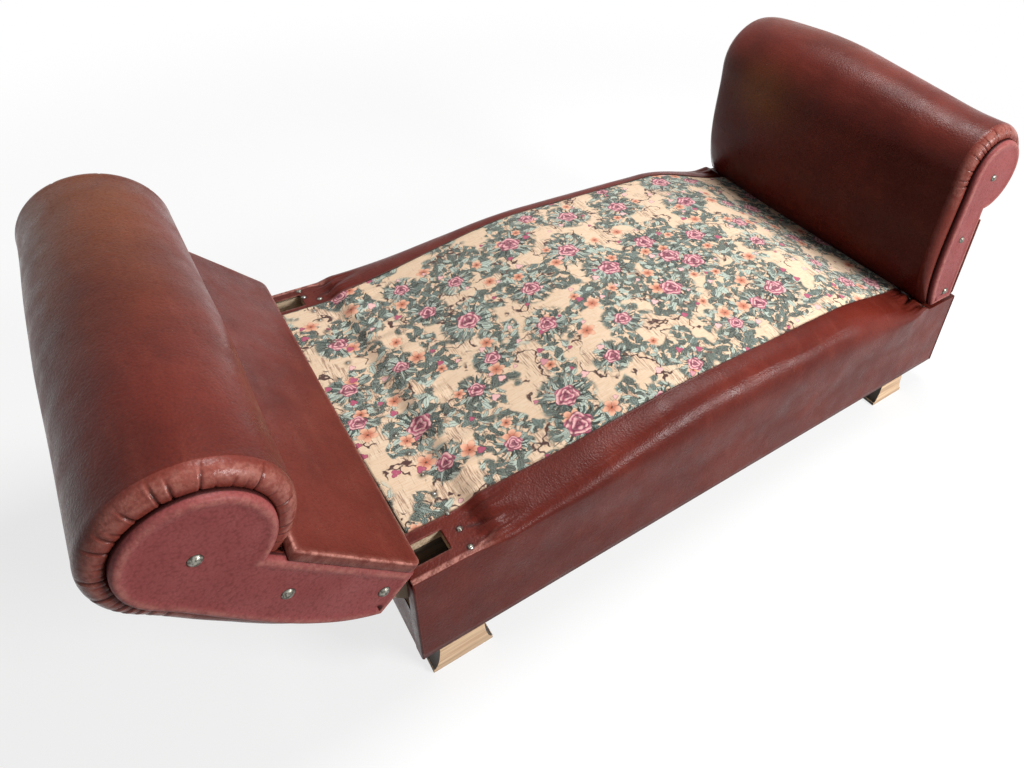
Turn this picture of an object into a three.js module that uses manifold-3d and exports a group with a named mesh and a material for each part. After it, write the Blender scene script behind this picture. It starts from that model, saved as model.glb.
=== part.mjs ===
// Fainting couch with two tilting scroll arms, in millimetres, +Z up, its length along X.
// The near side of the couch is at the lowest Y, the head end at the lowest X.
import * as THREE from 'three';
import { mergeVertices } from 'three/addons/utils/BufferGeometryUtils.js';
import Module from 'manifold-3d';

const wasm = await Module();
wasm.setup();

// Overall sizes
const BASE_LENGTH = 1317;
const BASE_WIDTH = 760;
const BASE_HEIGHT = 195;
const FOOT_HEIGHT = 60;

// Clearances, the overrun of every cut and the reach within which corners are one
const TOUCH_GAP = 0.3;
const SWING_GAP = 2;
const OVERRUN = 5;
const CORNER_REACH = 0.003;

// Boards of the base
const SIDE_RAIL_THICKNESS = 24;
const END_RAIL_THICKNESS = 18;
const CHEEK_THICKNESS = 20;
const CHEEK_LENGTH = 110;
const CHEEK_HEIGHT = 150;
const DECK_THICKNESS = 12;
const DECK_DROP = 5;
const END_DECK_DROP = 2;
const SIDE_RAIL_DROP = 4.6;
const CORNER_ROUND = 4;
const BEARER_WIDTH = 45;
const BEARER_HEIGHT = 60;
const BEARER_PLACE_SHARES = [0.25, 0.5, 0.75];

// Covers and stuffing
const LEATHER = 1.2;
const TAPESTRY = 1.5;
const BORDER_WIDTH = 80;
const ROLL_RISE = 56;
const CROWN_RISE = 78;
const CROWN_FULLNESS = 2.4;
const ROLL_SHOULDER = ROLL_RISE + CORNER_ROUND;
const SEAT_FLAT_END = 104;
const SEAT_RISE_RUNS = { left: 420, right: 260 };
const TAPESTRY_END = 22;
const END_WRAP = 24;

// Feet
const FOOT_LENGTH = 104;
const FOOT_TOP_LENGTH = 78;
const FOOT_DEPTH = 58;
const FOOT_LIP = 8;
const FOOT_INSET = 2;
const LEFT_FOOT_PLACE = 14;
const RIGHT_FOOT_PLACE = 94;

// Arms, drawn upright: v is across the arm and 0 at its outer face, u is up, the scroll turns towards +v.
// An inset is measured from the outer face towards -v.
const ARM_WIDTH = BASE_WIDTH;
const ARM_FOOT_GAP = 7.6;
const ARM_BACK_INSET = 24;
const ARM_FRONT_INSET = 98;
const SCROLL_INSET = 28;
const SCROLL_HEIGHT = 320;
const SCROLL_RADIUS = 80;
const FRONT_BELLY = 34;
const FRONT_CURVE_SHARES = [0.75, 0.34];
const FASCIA_THICKNESS = 24;
const FASCIA_EDGE_ROUND = 7;
const PANEL_THICKNESS = 15;
const PANEL_CORNER = 14;
const CORE_RADIUS = 38;
const ARM_RAIL_HEIGHT = 40;
const LEFT_ARM_SHIFT = 132;

// Pads: a lip at the fascia, a rounded rim, and a bulge towards the middle, fuller on the right arm
const PAD_LIP = 4;
const PAD_RIM_PROUD = 26;
const PAD_BULGES = { left: 4, right: 24 };
const PAD_SETBACK = 8;
const PAD_ROUNDING = 26;
const PAD_GATHER_RUN = 200;
const PAD_FOOT_SHARE = 0.3;

// Tongues and their pivots
const TONGUE_WIDTH = 34;
const TONGUE_OUTER_INSET = 92;
const TONGUE_INNER_INSET = 64;
const TONGUE_HEIGHT = 196;
const KNUCKLE_RADIUS = 18;
const PIVOT_DEPTH = 110;
const PIVOT_INSET = 38;
const PIVOT_RADIUS = 6;
const PIVOT_CLEARANCE = 0.1;
const PIN_BLIND_SHARE = 0.25;
const LEAN_DEG = 44;
const SLOT_WIDTH = TONGUE_WIDTH + 2 * SWING_GAP;
const SLOT_DEPTH = 100;
const SLOT_LENGTHS = {
  left: LEFT_ARM_SHIFT - TONGUE_INNER_INSET + SWING_GAP,
  right: TONGUE_OUTER_INSET + SWING_GAP,
};

// Domed bolts of the arms, each by its inset from the outer face and its height
const BOLT_DOME_RADIUS = 8.5;
const BOLT_DOME_HEIGHT = 4;
const BOLT_SHANK_RADIUS = 3;
const BOLT_LENGTH = 20;
const TOP_BOLT_AHEAD = 8;
const MIDDLE_BOLT_AHEAD = 48;
const LOW_BOLT_AHEAD = 35;
const MIDDLE_BOLT_HEIGHT = 178;
const LOW_BOLT_RISE = 28;
const BOLT_PLACES = [
  { inset: SCROLL_INSET + TOP_BOLT_AHEAD, height: SCROLL_HEIGHT },
  { inset: ARM_BACK_INSET + MIDDLE_BOLT_AHEAD, height: MIDDLE_BOLT_HEIGHT },
  { inset: ARM_BACK_INSET + LOW_BOLT_AHEAD, height: ARM_FOOT_GAP + LOW_BOLT_RISE },
];

// Heights and places that follow from the sizes
const BASE_FLOOR = FOOT_HEIGHT;
const BASE_TOP = BASE_FLOOR + BASE_HEIGHT;
const RAIL_BOTTOM = BASE_FLOOR + LEATHER + TOUCH_GAP;
const SIDE_RAIL_TOP = BASE_TOP - SIDE_RAIL_DROP;
const SKIN = LEATHER + TOUCH_GAP;
const SIDE_Y = SKIN + SIDE_RAIL_THICKNESS;
const SLOT_Y = SIDE_Y + TOUCH_GAP;
const SLOT_FAR_Y = SLOT_Y + SLOT_WIDTH;
const DECK_TOP = BASE_TOP - DECK_DROP;
const DECK_UNDERSIDE = DECK_TOP - DECK_THICKNESS;
const FRONT_WALL_INSET = TONGUE_OUTER_INSET + SWING_GAP;
const PIVOT_HEIGHT = BASE_TOP - PIVOT_DEPTH;
const LEAN = THREE.MathUtils.degToRad(LEAN_DEG);

// Finishes
const FINISHES = {
  leatherette: { color: 0x6e2c26, roughness: 0.42, metalness: 0 },
  tapestry: { color: 0xc9a67c, roughness: 0.9, metalness: 0 },
  light_wood: { color: 0xb08a55, roughness: 0.6, metalness: 0 },
  foot_wood: { color: 0xa67a45, roughness: 0.55, metalness: 0 },
  stuffing: { color: 0xd8cfba, roughness: 0.95, metalness: 0 },
  steel: { color: 0x6f706c, roughness: 0.35, metalness: 0.9 },
};

const couch = new THREE.Group();

function addPiece(parent, name, geometry, finish) {
  const mesh = new THREE.Mesh(geometry, new THREE.MeshStandardMaterial(FINISHES[finish]));
  mesh.name = name;
  parent.add(mesh);
  return mesh;
}

// Solids and booleans
function toSolid(geometry) {
  const bare = geometry.clone();
  bare.deleteAttribute('normal');
  bare.deleteAttribute('uv');
  const merged = mergeVertices(bare, CORNER_REACH);
  return new wasm.Manifold(new wasm.Mesh({
    numProp: 3,
    vertProperties: new Float32Array(merged.attributes.position.array),
    triVerts: new Uint32Array(merged.index.array),
  }));
}

function toGeometry(solid) {
  const mesh = solid.getMesh();
  const geometry = new THREE.BufferGeometry();
  geometry.setAttribute('position', new THREE.BufferAttribute(new Float32Array(mesh.vertProperties), 3));
  geometry.setIndex(new THREE.BufferAttribute(new Uint32Array(mesh.triVerts), 1));
  return geometry;
}

function cut(geometry, ...tools) {
  let solid = toSolid(geometry);
  for (const tool of tools) solid = solid.subtract(toSolid(tool));
  return toGeometry(solid);
}

function join(geometry, ...others) {
  let solid = toSolid(geometry);
  for (const other of others) solid = solid.add(toSolid(other));
  return toGeometry(solid);
}

// A box given by its lowest and highest corners
function boxBetween(low, high) {
  const geometry = new THREE.BoxGeometry(high[0] - low[0], high[1] - low[1], high[2] - low[2]);
  return geometry.translate((low[0] + high[0]) / 2, (low[1] + high[1]) / 2, (low[2] + high[2]) / 2);
}

// A prism of an outline in X and Z, running along Y between two stations
function prismAlongY(outline, yLow, yHigh) {
  const shape = new THREE.Shape(outline.map(([x, z]) => new THREE.Vector2(x, z)));
  const geometry = new THREE.ExtrudeGeometry(shape, { depth: yHigh - yLow, bevelEnabled: false });
  return geometry.rotateX(Math.PI / 2).translate(0, yHigh, 0);
}

// A closed body through rings of equally many points, capped at both ends
function loft(rings, capPlane) {
  const count = rings[0].length;
  const position = rings.flat().flatMap((p) => [p.x, p.y, p.z]);
  const index = [];
  for (let r = 0; r < rings.length - 1; r += 1) {
    for (let i = 0; i < count; i += 1) {
      const a = r * count + i;
      const b = r * count + ((i + 1) % count);
      index.push(a, b, a + count, b, b + count, a + count);
    }
  }
  const flat = rings[0].map((p) => new THREE.Vector2(p[capPlane[0]], p[capPlane[1]]));
  const turn = THREE.ShapeUtils.isClockWise(flat);
  const last = (rings.length - 1) * count;
  for (const [a, b, c] of THREE.ShapeUtils.triangulateShape(flat, [])) {
    if (turn) {
      index.push(a, b, c, last + c, last + b, last + a);
    } else {
      index.push(c, b, a, last + a, last + b, last + c);
    }
  }
  const geometry = new THREE.BufferGeometry();
  geometry.setAttribute('position', new THREE.Float32BufferAttribute(position, 3));
  geometry.setIndex(index);
  return facingOut(geometry);
}

// The same body with its faces pointing out
function facingOut(geometry) {
  const p = geometry.attributes.position;
  const index = geometry.index.array;
  const [a, b, c] = [new THREE.Vector3(), new THREE.Vector3(), new THREE.Vector3()];
  let volume = 0;
  for (let i = 0; i < index.length; i += 3) {
    a.fromBufferAttribute(p, index[i]);
    b.fromBufferAttribute(p, index[i + 1]);
    c.fromBufferAttribute(p, index[i + 2]);
    volume += a.dot(b.cross(c));
  }
  if (volume < 0) {
    geometry.setIndex(Array.from(index).reverse());
  }
  return geometry;
}

// Seat surface: how far the top rises above the base at a place, full in the middle, flat at the ends
function endShare(x) {
  const left = THREE.MathUtils.smoothstep(x, SEAT_FLAT_END, SEAT_FLAT_END + SEAT_RISE_RUNS.left);
  const fromRight = BASE_LENGTH - x;
  const right = THREE.MathUtils.smoothstep(fromRight, SEAT_FLAT_END, SEAT_FLAT_END + SEAT_RISE_RUNS.right);
  return left * right;
}

function crownRise(x, y) {
  const across = (y - BASE_WIDTH / 2) / (BASE_WIDTH / 2 - BORDER_WIDTH);
  const bow = 1 - Math.min(1, Math.abs(across)) ** CROWN_FULLNESS;
  return endShare(x) * (ROLL_RISE + (CROWN_RISE - ROLL_RISE) * bow);
}

// Feet: blocks with a coved front that runs out to a lip at the floor
function footGeometry() {
  const coveDepth = (FOOT_LENGTH - FOOT_TOP_LENGTH) / 2;
  const coveHeight = RAIL_BOTTOM - TOUCH_GAP - FOOT_LIP;
  const outline = [[0, 0], [FOOT_LENGTH, 0], [FOOT_LENGTH, FOOT_LIP]];
  const steps = 6;
  for (let i = 1; i <= steps; i += 1) {
    const angle = (i / steps) * Math.PI / 2;
    outline.push([
      FOOT_LENGTH - coveDepth * Math.sin(angle),
      FOOT_LIP + coveHeight * (1 - Math.cos(angle)),
    ]);
  }
  for (let i = steps; i >= 1; i -= 1) {
    const angle = (i / steps) * Math.PI / 2;
    outline.push([coveDepth * Math.sin(angle), FOOT_LIP + coveHeight * (1 - Math.cos(angle))]);
  }
  outline.push([0, FOOT_LIP]);
  return prismAlongY(outline, 0, FOOT_DEPTH);
}

function addFeet() {
  const sides = { near: FOOT_INSET, far: BASE_WIDTH - FOOT_INSET - FOOT_DEPTH };
  const ends = { left: LEFT_FOOT_PLACE, right: BASE_LENGTH - RIGHT_FOOT_PLACE - FOOT_LENGTH };
  for (const [side, y] of Object.entries(sides)) {
    for (const [end, x] of Object.entries(ends)) {
      addPiece(couch, `foot_${end}_${side}`, footGeometry(), 'foot_wood').position.set(x, y, 0);
    }
  }
}

// Mirrors to the right end and to the far side
const mirrorLength = new THREE.Matrix4().makeScale(-1, 1, 1).setPosition(BASE_LENGTH, 0, 0);
const mirrorWidth = new THREE.Matrix4().makeScale(1, -1, 1).setPosition(0, BASE_WIDTH, 0);

function indexed(geometry) {
  const bare = geometry.clone();
  bare.deleteAttribute('normal');
  bare.deleteAttribute('uv');
  return mergeVertices(bare, CORNER_REACH);
}

function placed(geometry, end, side) {
  const copy = indexed(geometry);
  if (end === 'right') copy.applyMatrix4(mirrorLength);
  if (side === 'far') copy.applyMatrix4(mirrorWidth);
  return facingOut(copy);
}

// The space of a slot at its final place
function slotBox(end, side) {
  const low = [-OVERRUN, SLOT_Y, BASE_TOP - SLOT_DEPTH];
  const high = [SLOT_LENGTHS[end], SLOT_FAR_Y, BASE_TOP + ROLL_RISE];
  return placed(boxBetween(low, high), end, side);
}

// A pivot's cylinder, drawn at the left end
function pivotCylinder(radius, yLow, yHigh) {
  const cylinder = new THREE.CylinderGeometry(radius, radius, yHigh - yLow, 24);
  return cylinder.translate(PIVOT_INSET, (yLow + yHigh) / 2, PIVOT_HEIGHT);
}

// Base frame: side rails, end rails in two boards, decks, bearers, and cheeks that hold the pivot pins
function addBaseFrame() {
  const boreRadius = PIVOT_RADIUS + PIVOT_CLEARANCE;
  const blindEnd = SKIN + SIDE_RAIL_THICKNESS * PIN_BLIND_SHARE;
  for (const side of ['near', 'far']) {
    const rail = boxBetween([SKIN, SKIN, RAIL_BOTTOM], [BASE_LENGTH - SKIN, SIDE_Y, SIDE_RAIL_TOP]);
    const hole = pivotCylinder(boreRadius, blindEnd, SIDE_Y + OVERRUN);
    const holes = [placed(hole, 'left', 'near'), placed(hole, 'right', 'near')];
    addPiece(couch, `side_rail_${side}`, placed(cut(indexed(rail), ...holes), 'left', side), 'light_wood');
  }
  for (const end of ['left', 'right']) addEndFrame(end, boreRadius, blindEnd);

  const deckLow = [SLOT_LENGTHS.left + TOUCH_GAP, SIDE_Y + TOUCH_GAP, DECK_UNDERSIDE];
  const deckHigh = [BASE_LENGTH - SLOT_LENGTHS.right - TOUCH_GAP, BASE_WIDTH - SIDE_Y - TOUCH_GAP, DECK_TOP];
  addPiece(couch, 'seat_deck', boxBetween(deckLow, deckHigh), 'light_wood');
  BEARER_PLACE_SHARES.forEach((share, i) => {
    const x = share * BASE_LENGTH - BEARER_WIDTH / 2;
    const top = DECK_UNDERSIDE - TOUCH_GAP;
    const low = [x, SIDE_Y + TOUCH_GAP, top - BEARER_HEIGHT];
    const high = [x + BEARER_WIDTH, BASE_WIDTH - SIDE_Y - TOUCH_GAP, top];
    addPiece(couch, `seat_bearer_${i + 1}`, boxBetween(low, high), 'light_wood');
  });
}

function addEndFrame(end, boreRadius, blindEnd) {
  const railEnd = SKIN + END_RAIL_THICKNESS;
  const between = [SLOT_FAR_Y + TOUCH_GAP, BASE_WIDTH - SLOT_FAR_Y - TOUCH_GAP];
  const slotFloor = BASE_TOP - SLOT_DEPTH;
  const lowRail = boxBetween(
    [SKIN, SIDE_Y + TOUCH_GAP, RAIL_BOTTOM],
    [railEnd, BASE_WIDTH - SIDE_Y - TOUCH_GAP, slotFloor],
  );
  addPiece(couch, `end_rail_low_${end}`, placed(lowRail, end, 'near'), 'light_wood');
  const highRail = boxBetween(
    [SKIN, between[0], slotFloor + TOUCH_GAP],
    [railEnd, between[1], DECK_UNDERSIDE - TOUCH_GAP],
  );
  addPiece(couch, `end_rail_high_${end}`, placed(highRail, end, 'near'), 'light_wood');
  const deck = boxBetween(
    [SKIN, between[0], DECK_UNDERSIDE],
    [SLOT_LENGTHS[end], between[1], BASE_TOP - END_DECK_DROP],
  );
  addPiece(couch, `end_deck_${end}`, placed(deck, end, 'near'), 'light_wood');
  for (const side of ['near', 'far']) {
    const cheekTop = DECK_UNDERSIDE - TOUCH_GAP;
    const cheekFar = between[0] + CHEEK_THICKNESS;
    const cheek = boxBetween(
      [railEnd + TOUCH_GAP, between[0], cheekTop - CHEEK_HEIGHT],
      [railEnd + TOUCH_GAP + CHEEK_LENGTH, cheekFar, cheekTop],
    );
    const bore = pivotCylinder(boreRadius, between[0] - OVERRUN, cheekFar + OVERRUN);
    addPiece(couch, `pivot_cheek_${end}_${side}`, placed(cut(cheek, bore), end, side), 'light_wood');
    const pin = pivotCylinder(PIVOT_RADIUS, blindEnd + TOUCH_GAP, cheekFar);
    addPiece(couch, `pivot_pin_${end}_${side}`, placed(pin, end, side), 'steel');
  }
}

// Long edges: a stuffed roll under a leatherette cover that runs down the side
const EDGE_STEPS = 20;
const ROLL_STEPS = 10;

// Stations along the stuffed length, closer together where it rises at the ends
function lengthStations() {
  const stations = [];
  for (let i = 0; i <= EDGE_STEPS; i += 1) {
    const share = (1 - Math.cos((i / EDGE_STEPS) * Math.PI)) / 2;
    stations.push(THREE.MathUtils.lerp(SEAT_FLAT_END, BASE_LENGTH - SEAT_FLAT_END, share));
  }
  return stations;
}

// Outer line of the edge at a station, from the bottom of the side to the border of the seat
function edgeLine(x, inset) {
  const e = endShare(x);
  const top = BASE_TOP + e * ROLL_RISE;
  const shoulder = THREE.MathUtils.lerp(CORNER_ROUND, ROLL_SHOULDER, e);
  const line = [];
  const steps = 7;
  for (let i = 0; i <= steps; i += 1) {
    const angle = (i / steps) * Math.PI / 2;
    line.push([
      inset + (shoulder - inset) * (1 - Math.cos(angle)),
      top - shoulder + (shoulder - inset) * Math.sin(angle),
    ]);
  }
  return { line, top };
}

function addEdges() {
  const cover = [];
  for (const x of [0, ...lengthStations(), BASE_LENGTH]) {
    const outer = edgeLine(x, 0).line;
    const inner = edgeLine(x, LEATHER).line.reverse();
    const border = crownRise(x, BORDER_WIDTH) + BASE_TOP;
    const ring = [[0, BASE_FLOOR], ...outer, [BORDER_WIDTH, border],
      [BORDER_WIDTH, border - LEATHER], ...inner, [LEATHER, BASE_FLOOR]];
    cover.push(ring.map(([y, z]) => new THREE.Vector3(x, y, z)));
  }
  const slots = ['left', 'right'].map((end) => slotBox(end, 'near'));
  const wrap = boxBetween([0, 0, BASE_FLOOR], [LEATHER, END_WRAP, BASE_TOP - CORNER_ROUND]);
  const wraps = ['left', 'right'].map((end) => placed(wrap, end, 'near'));
  const coverNear = cut(join(loft(cover, ['y', 'z']), ...wraps), ...slots);
  addPiece(couch, 'edge_cover_near', coverNear, 'leatherette');
  addPiece(couch, 'edge_cover_far', placed(coverNear, 'left', 'far'), 'leatherette');

  const roll = [];
  const rollFloor = SIDE_RAIL_TOP + TOUCH_GAP;
  for (const x of lengthStations()) {
    const line = edgeLine(x, SKIN).line.filter(([, z]) => z > rollFloor);
    const seam = [BORDER_WIDTH - TOUCH_GAP, crownRise(x, BORDER_WIDTH) + BASE_TOP - SKIN];
    const points = resampled([[SKIN, rollFloor], ...line, seam], ROLL_STEPS);
    const ring = [...points, [BORDER_WIDTH - TOUCH_GAP, rollFloor]];
    roll.push(ring.map(([y, z]) => new THREE.Vector3(x, y, z)));
  }
  const rollNear = loft(roll, ['y', 'z']);
  addPiece(couch, 'edge_roll_near', rollNear, 'stuffing');
  addPiece(couch, 'edge_roll_far', placed(rollNear, 'left', 'far'), 'stuffing');
}

// A line of points spaced evenly along another line
function resampled(line, count) {
  const reach = [0];
  for (let i = 1; i < line.length; i += 1) {
    reach.push(reach[i - 1] + Math.hypot(line[i][0] - line[i - 1][0], line[i][1] - line[i - 1][1]));
  }
  const points = [];
  for (let k = 0; k <= count; k += 1) {
    const target = (k / count) * reach.at(-1);
    let i = 1;
    while (i < line.length - 1 && reach[i] < target) i += 1;
    const share = (target - reach[i - 1]) / (reach[i] - reach[i - 1]);
    points.push([
      THREE.MathUtils.lerp(line[i - 1][0], line[i][0], share),
      THREE.MathUtils.lerp(line[i - 1][1], line[i][1], share),
    ]);
  }
  return points;
}

// A slab whose top and bottom follow two height functions over a grid
function slab(xs, ys, topAt, bottomAt) {
  const rings = xs.map((x) => [
    ...ys.map((y) => new THREE.Vector3(x, y, topAt(x, y))),
    ...[...ys].reverse().map((y) => new THREE.Vector3(x, y, bottomAt(x, y))),
  ]);
  return loft(rings, ['y', 'z']);
}

function evenly(low, high, count) {
  return Array.from({ length: count + 1 }, (_, i) => THREE.MathUtils.lerp(low, high, i / count));
}

// Seat: the stuffing and the tapestry over it, which runs on flat under the arms
function addSeat() {
  const yLow = BORDER_WIDTH + TOUCH_GAP;
  const ys = evenly(yLow, BASE_WIDTH - yLow, 14);
  const coverXs = [TAPESTRY_END, ...lengthStations(), BASE_LENGTH - TAPESTRY_END];
  const coverTop = (x, y) => BASE_TOP + crownRise(x, y);
  const cover = slab(coverXs, ys, coverTop, (x, y) => coverTop(x, y) - TAPESTRY);
  addPiece(couch, 'seat_tapestry', cover, 'tapestry');
  const fillTop = (x, y) => coverTop(x, y) - TAPESTRY - TOUCH_GAP;
  const fill = slab(lengthStations(), [...ys].reverse(), fillTop, () => DECK_TOP + TOUCH_GAP);
  addPiece(couch, 'seat_stuffing', fill, 'stuffing');
}

// End covers: leatherette folded over the top of each end and down its face
function addEndCovers() {
  const yLow = BORDER_WIDTH + TOUCH_GAP;
  const side = END_WRAP + TOUCH_GAP;
  const fold = TAPESTRY_END - TOUCH_GAP;
  const drop = boxBetween([0, side, BASE_FLOOR], [LEATHER, BASE_WIDTH - side, BASE_TOP - SKIN]);
  const turn = boxBetween([0, yLow, BASE_FLOOR], [LEATHER, BASE_WIDTH - yLow, BASE_TOP]);
  const top = boxBetween([0, yLow, BASE_TOP - LEATHER], [fold, BASE_WIDTH - yLow, BASE_TOP]);
  const slots = ['near', 'far'].map((place) => slotBox('left', place));
  const cover = cut(join(drop, turn, top), ...slots);
  for (const end of ['left', 'right']) {
    addPiece(couch, `end_cover_${end}`, placed(cover, end, 'near'), 'leatherette');
  }
}

// Arm outline at an offset from the fascia's edge: back, scroll, front, foot
function armOutline(offset) {
  const radius = SCROLL_RADIUS + offset;
  const start = -Math.acos((SCROLL_INSET - ARM_BACK_INSET) / radius);
  const outline = [[-ARM_BACK_INSET, ARM_FOOT_GAP]];
  const arcSteps = 30;
  const frontSteps = 10;
  for (let i = 0; i <= arcSteps; i += 1) {
    const angle = THREE.MathUtils.lerp(start, Math.PI, i / arcSteps);
    outline.push([radius * Math.cos(angle) - SCROLL_INSET, SCROLL_HEIGHT + radius * Math.sin(angle)]);
  }
  const front = new THREE.CubicBezierCurve(
    new THREE.Vector2(-SCROLL_INSET - radius, SCROLL_HEIGHT),
    new THREE.Vector2(-SCROLL_INSET - radius, SCROLL_HEIGHT * FRONT_CURVE_SHARES[0]),
    new THREE.Vector2(-SCROLL_INSET - radius - FRONT_BELLY, SCROLL_HEIGHT * FRONT_CURVE_SHARES[1]),
    new THREE.Vector2(-ARM_FRONT_INSET - offset * PAD_FOOT_SHARE, ARM_FOOT_GAP),
  );
  front.getPoints(frontSteps).slice(1).forEach((p) => outline.push([p.x, p.y]));
  return outline;
}

function armSection(offset, y) {
  return armOutline(offset).map(([v, u]) => new THREE.Vector3(v, y, u));
}

function boltGeometry() {
  const profile = [new THREE.Vector2(0, 0), new THREE.Vector2(BOLT_SHANK_RADIUS, 0),
    new THREE.Vector2(BOLT_SHANK_RADIUS, BOLT_LENGTH)];
  const steps = 4;
  for (let i = 0; i <= steps; i += 1) {
    const angle = (i / steps) * Math.PI / 2;
    profile.push(new THREE.Vector2(
      BOLT_DOME_RADIUS * Math.cos(angle),
      BOLT_LENGTH + BOLT_DOME_HEIGHT * Math.sin(angle),
    ));
  }
  profile.at(-1).x = 0;
  return new THREE.LatheGeometry(profile, 16).rotateX(Math.PI);
}

// How far a pad stands proud of the fascia's edge at a distance from the pad's end
function padProud(distance, fullness) {
  const across = 1 - Math.min(1, distance / PAD_ROUNDING);
  const rim = Math.sqrt(1 - across * across);
  const bulge = THREE.MathUtils.smoothstep(distance, 0, PAD_GATHER_RUN);
  return PAD_LIP + (PAD_RIM_PROUD - PAD_LIP) * rim + fullness * bulge;
}

// Distances from a pad's end at which its rings lie
const PAD_RIM_SHARES = [0, 0.12, 0.4, 1];
const PAD_GATHER_SHARES = [0.45, 0.7, 1];

// Top edge of the back panel, just under the rim of the roll
function panelTop() {
  const rimRadius = SCROLL_RADIUS + PAD_RIM_PROUD;
  return SCROLL_HEIGHT - Math.sqrt(rimRadius ** 2 - (SCROLL_INSET - ARM_BACK_INSET) ** 2) - TOUCH_GAP;
}

function padGeometry(fullness) {
  const distances = [
    ...PAD_RIM_SHARES.map((share) => share * PAD_ROUNDING),
    ...PAD_GATHER_SHARES.map((share) => share * PAD_GATHER_RUN),
  ];
  const rings = distances.map((d) => armSection(padProud(d, fullness), PAD_SETBACK + d));
  const farRings = distances.map((d) => armSection(padProud(d, fullness), ARM_WIDTH - PAD_SETBACK - d));
  const faceSeat = loft([
    armSection(TOUCH_GAP, -OVERRUN),
    armSection(TOUCH_GAP, FASCIA_THICKNESS + TOUCH_GAP),
  ], ['x', 'z']);
  const hollow = boxBetween(
    [-FRONT_WALL_INSET, -OVERRUN, -OVERRUN],
    [-ARM_BACK_INSET + OVERRUN, ARM_WIDTH + OVERRUN, TONGUE_HEIGHT + SWING_GAP],
  );
  const panelSeat = boxBetween(
    [-ARM_BACK_INSET - TOUCH_GAP, -OVERRUN, -OVERRUN],
    [-ARM_BACK_INSET + PANEL_THICKNESS + 2 * TOUCH_GAP, ARM_WIDTH + OVERRUN, panelTop() + TOUCH_GAP],
  );
  const bore = CORE_RADIUS + TOUCH_GAP;
  const coreHole = new THREE.CylinderGeometry(bore, bore, ARM_WIDTH + 2 * OVERRUN, 24);
  coreHole.translate(-SCROLL_INSET, ARM_WIDTH / 2, SCROLL_HEIGHT);
  const body = loft([...rings, ...farRings.reverse()], ['x', 'z']);
  return cut(body, faceSeat, flip(faceSeat), hollow, panelSeat, coreHole);
}

function flip(geometry) {
  return facingOut(indexed(geometry).applyMatrix4(mirrorWidth));
}

function fasciaGeometry() {
  const edgeSteps = 3;
  const rings = [];
  for (let i = 0; i <= edgeSteps; i += 1) {
    const angle = (i / edgeSteps) * Math.PI / 2;
    rings.push(armSection(
      -FASCIA_EDGE_ROUND * (1 - Math.sin(angle)),
      FASCIA_EDGE_ROUND * (1 - Math.cos(angle)),
    ));
  }
  rings.push(armSection(0, FASCIA_THICKNESS));
  const holes = BOLT_PLACES.map(({ inset, height }) => {
    const radius = BOLT_SHANK_RADIUS + TOUCH_GAP;
    const hole = new THREE.CylinderGeometry(radius, radius, BOLT_LENGTH + 2 * OVERRUN, 16);
    return hole.translate(-inset, BOLT_LENGTH / 2, height);
  });
  return cut(loft(rings, ['x', 'z']), ...holes);
}

function panelGeometry() {
  const shape = new THREE.Shape();
  const [low, top, c] = [ARM_FOOT_GAP, panelTop(), PANEL_CORNER];
  shape.moveTo(c, low).lineTo(ARM_WIDTH - c, low);
  shape.quadraticCurveTo(ARM_WIDTH, low, ARM_WIDTH, low + c);
  shape.lineTo(ARM_WIDTH, top).lineTo(0, top).lineTo(0, low + c);
  shape.quadraticCurveTo(0, low, c, low);
  const panel = new THREE.ExtrudeGeometry(shape, {
    depth: PANEL_THICKNESS,
    bevelEnabled: false,
    curveSegments: 5,
  });
  panel.rotateY(Math.PI / 2).rotateX(Math.PI / 2);
  return facingOut(indexed(panel.translate(-ARM_BACK_INSET + TOUCH_GAP, 0, 0)));
}

// A tongue: a bar with a toe at its foot that reaches the pivot
function tongueGeometry(pivotV) {
  const low = SLOT_Y + SWING_GAP;
  const middle = low + TONGUE_WIDTH / 2;
  const bar = boxBetween(
    [-TONGUE_OUTER_INSET, low, -PIVOT_DEPTH],
    [-TONGUE_INNER_INSET, low + TONGUE_WIDTH, TONGUE_HEIGHT],
  );
  const toe = boxBetween(
    [Math.min(pivotV, -TONGUE_OUTER_INSET), low, -PIVOT_DEPTH - KNUCKLE_RADIUS],
    [Math.max(pivotV, -TONGUE_INNER_INSET), low + TONGUE_WIDTH, -PIVOT_DEPTH + KNUCKLE_RADIUS],
  );
  const knuckle = new THREE.CylinderGeometry(KNUCKLE_RADIUS, KNUCKLE_RADIUS, TONGUE_WIDTH, 24);
  const boreRadius = PIVOT_RADIUS + PIVOT_CLEARANCE;
  const bore = new THREE.CylinderGeometry(boreRadius, boreRadius, TONGUE_WIDTH + 2 * OVERRUN, 24);
  return cut(
    join(bar, toe, knuckle.translate(pivotV, middle, -PIVOT_DEPTH)),
    bore.translate(pivotV, middle, -PIVOT_DEPTH),
  );
}

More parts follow.
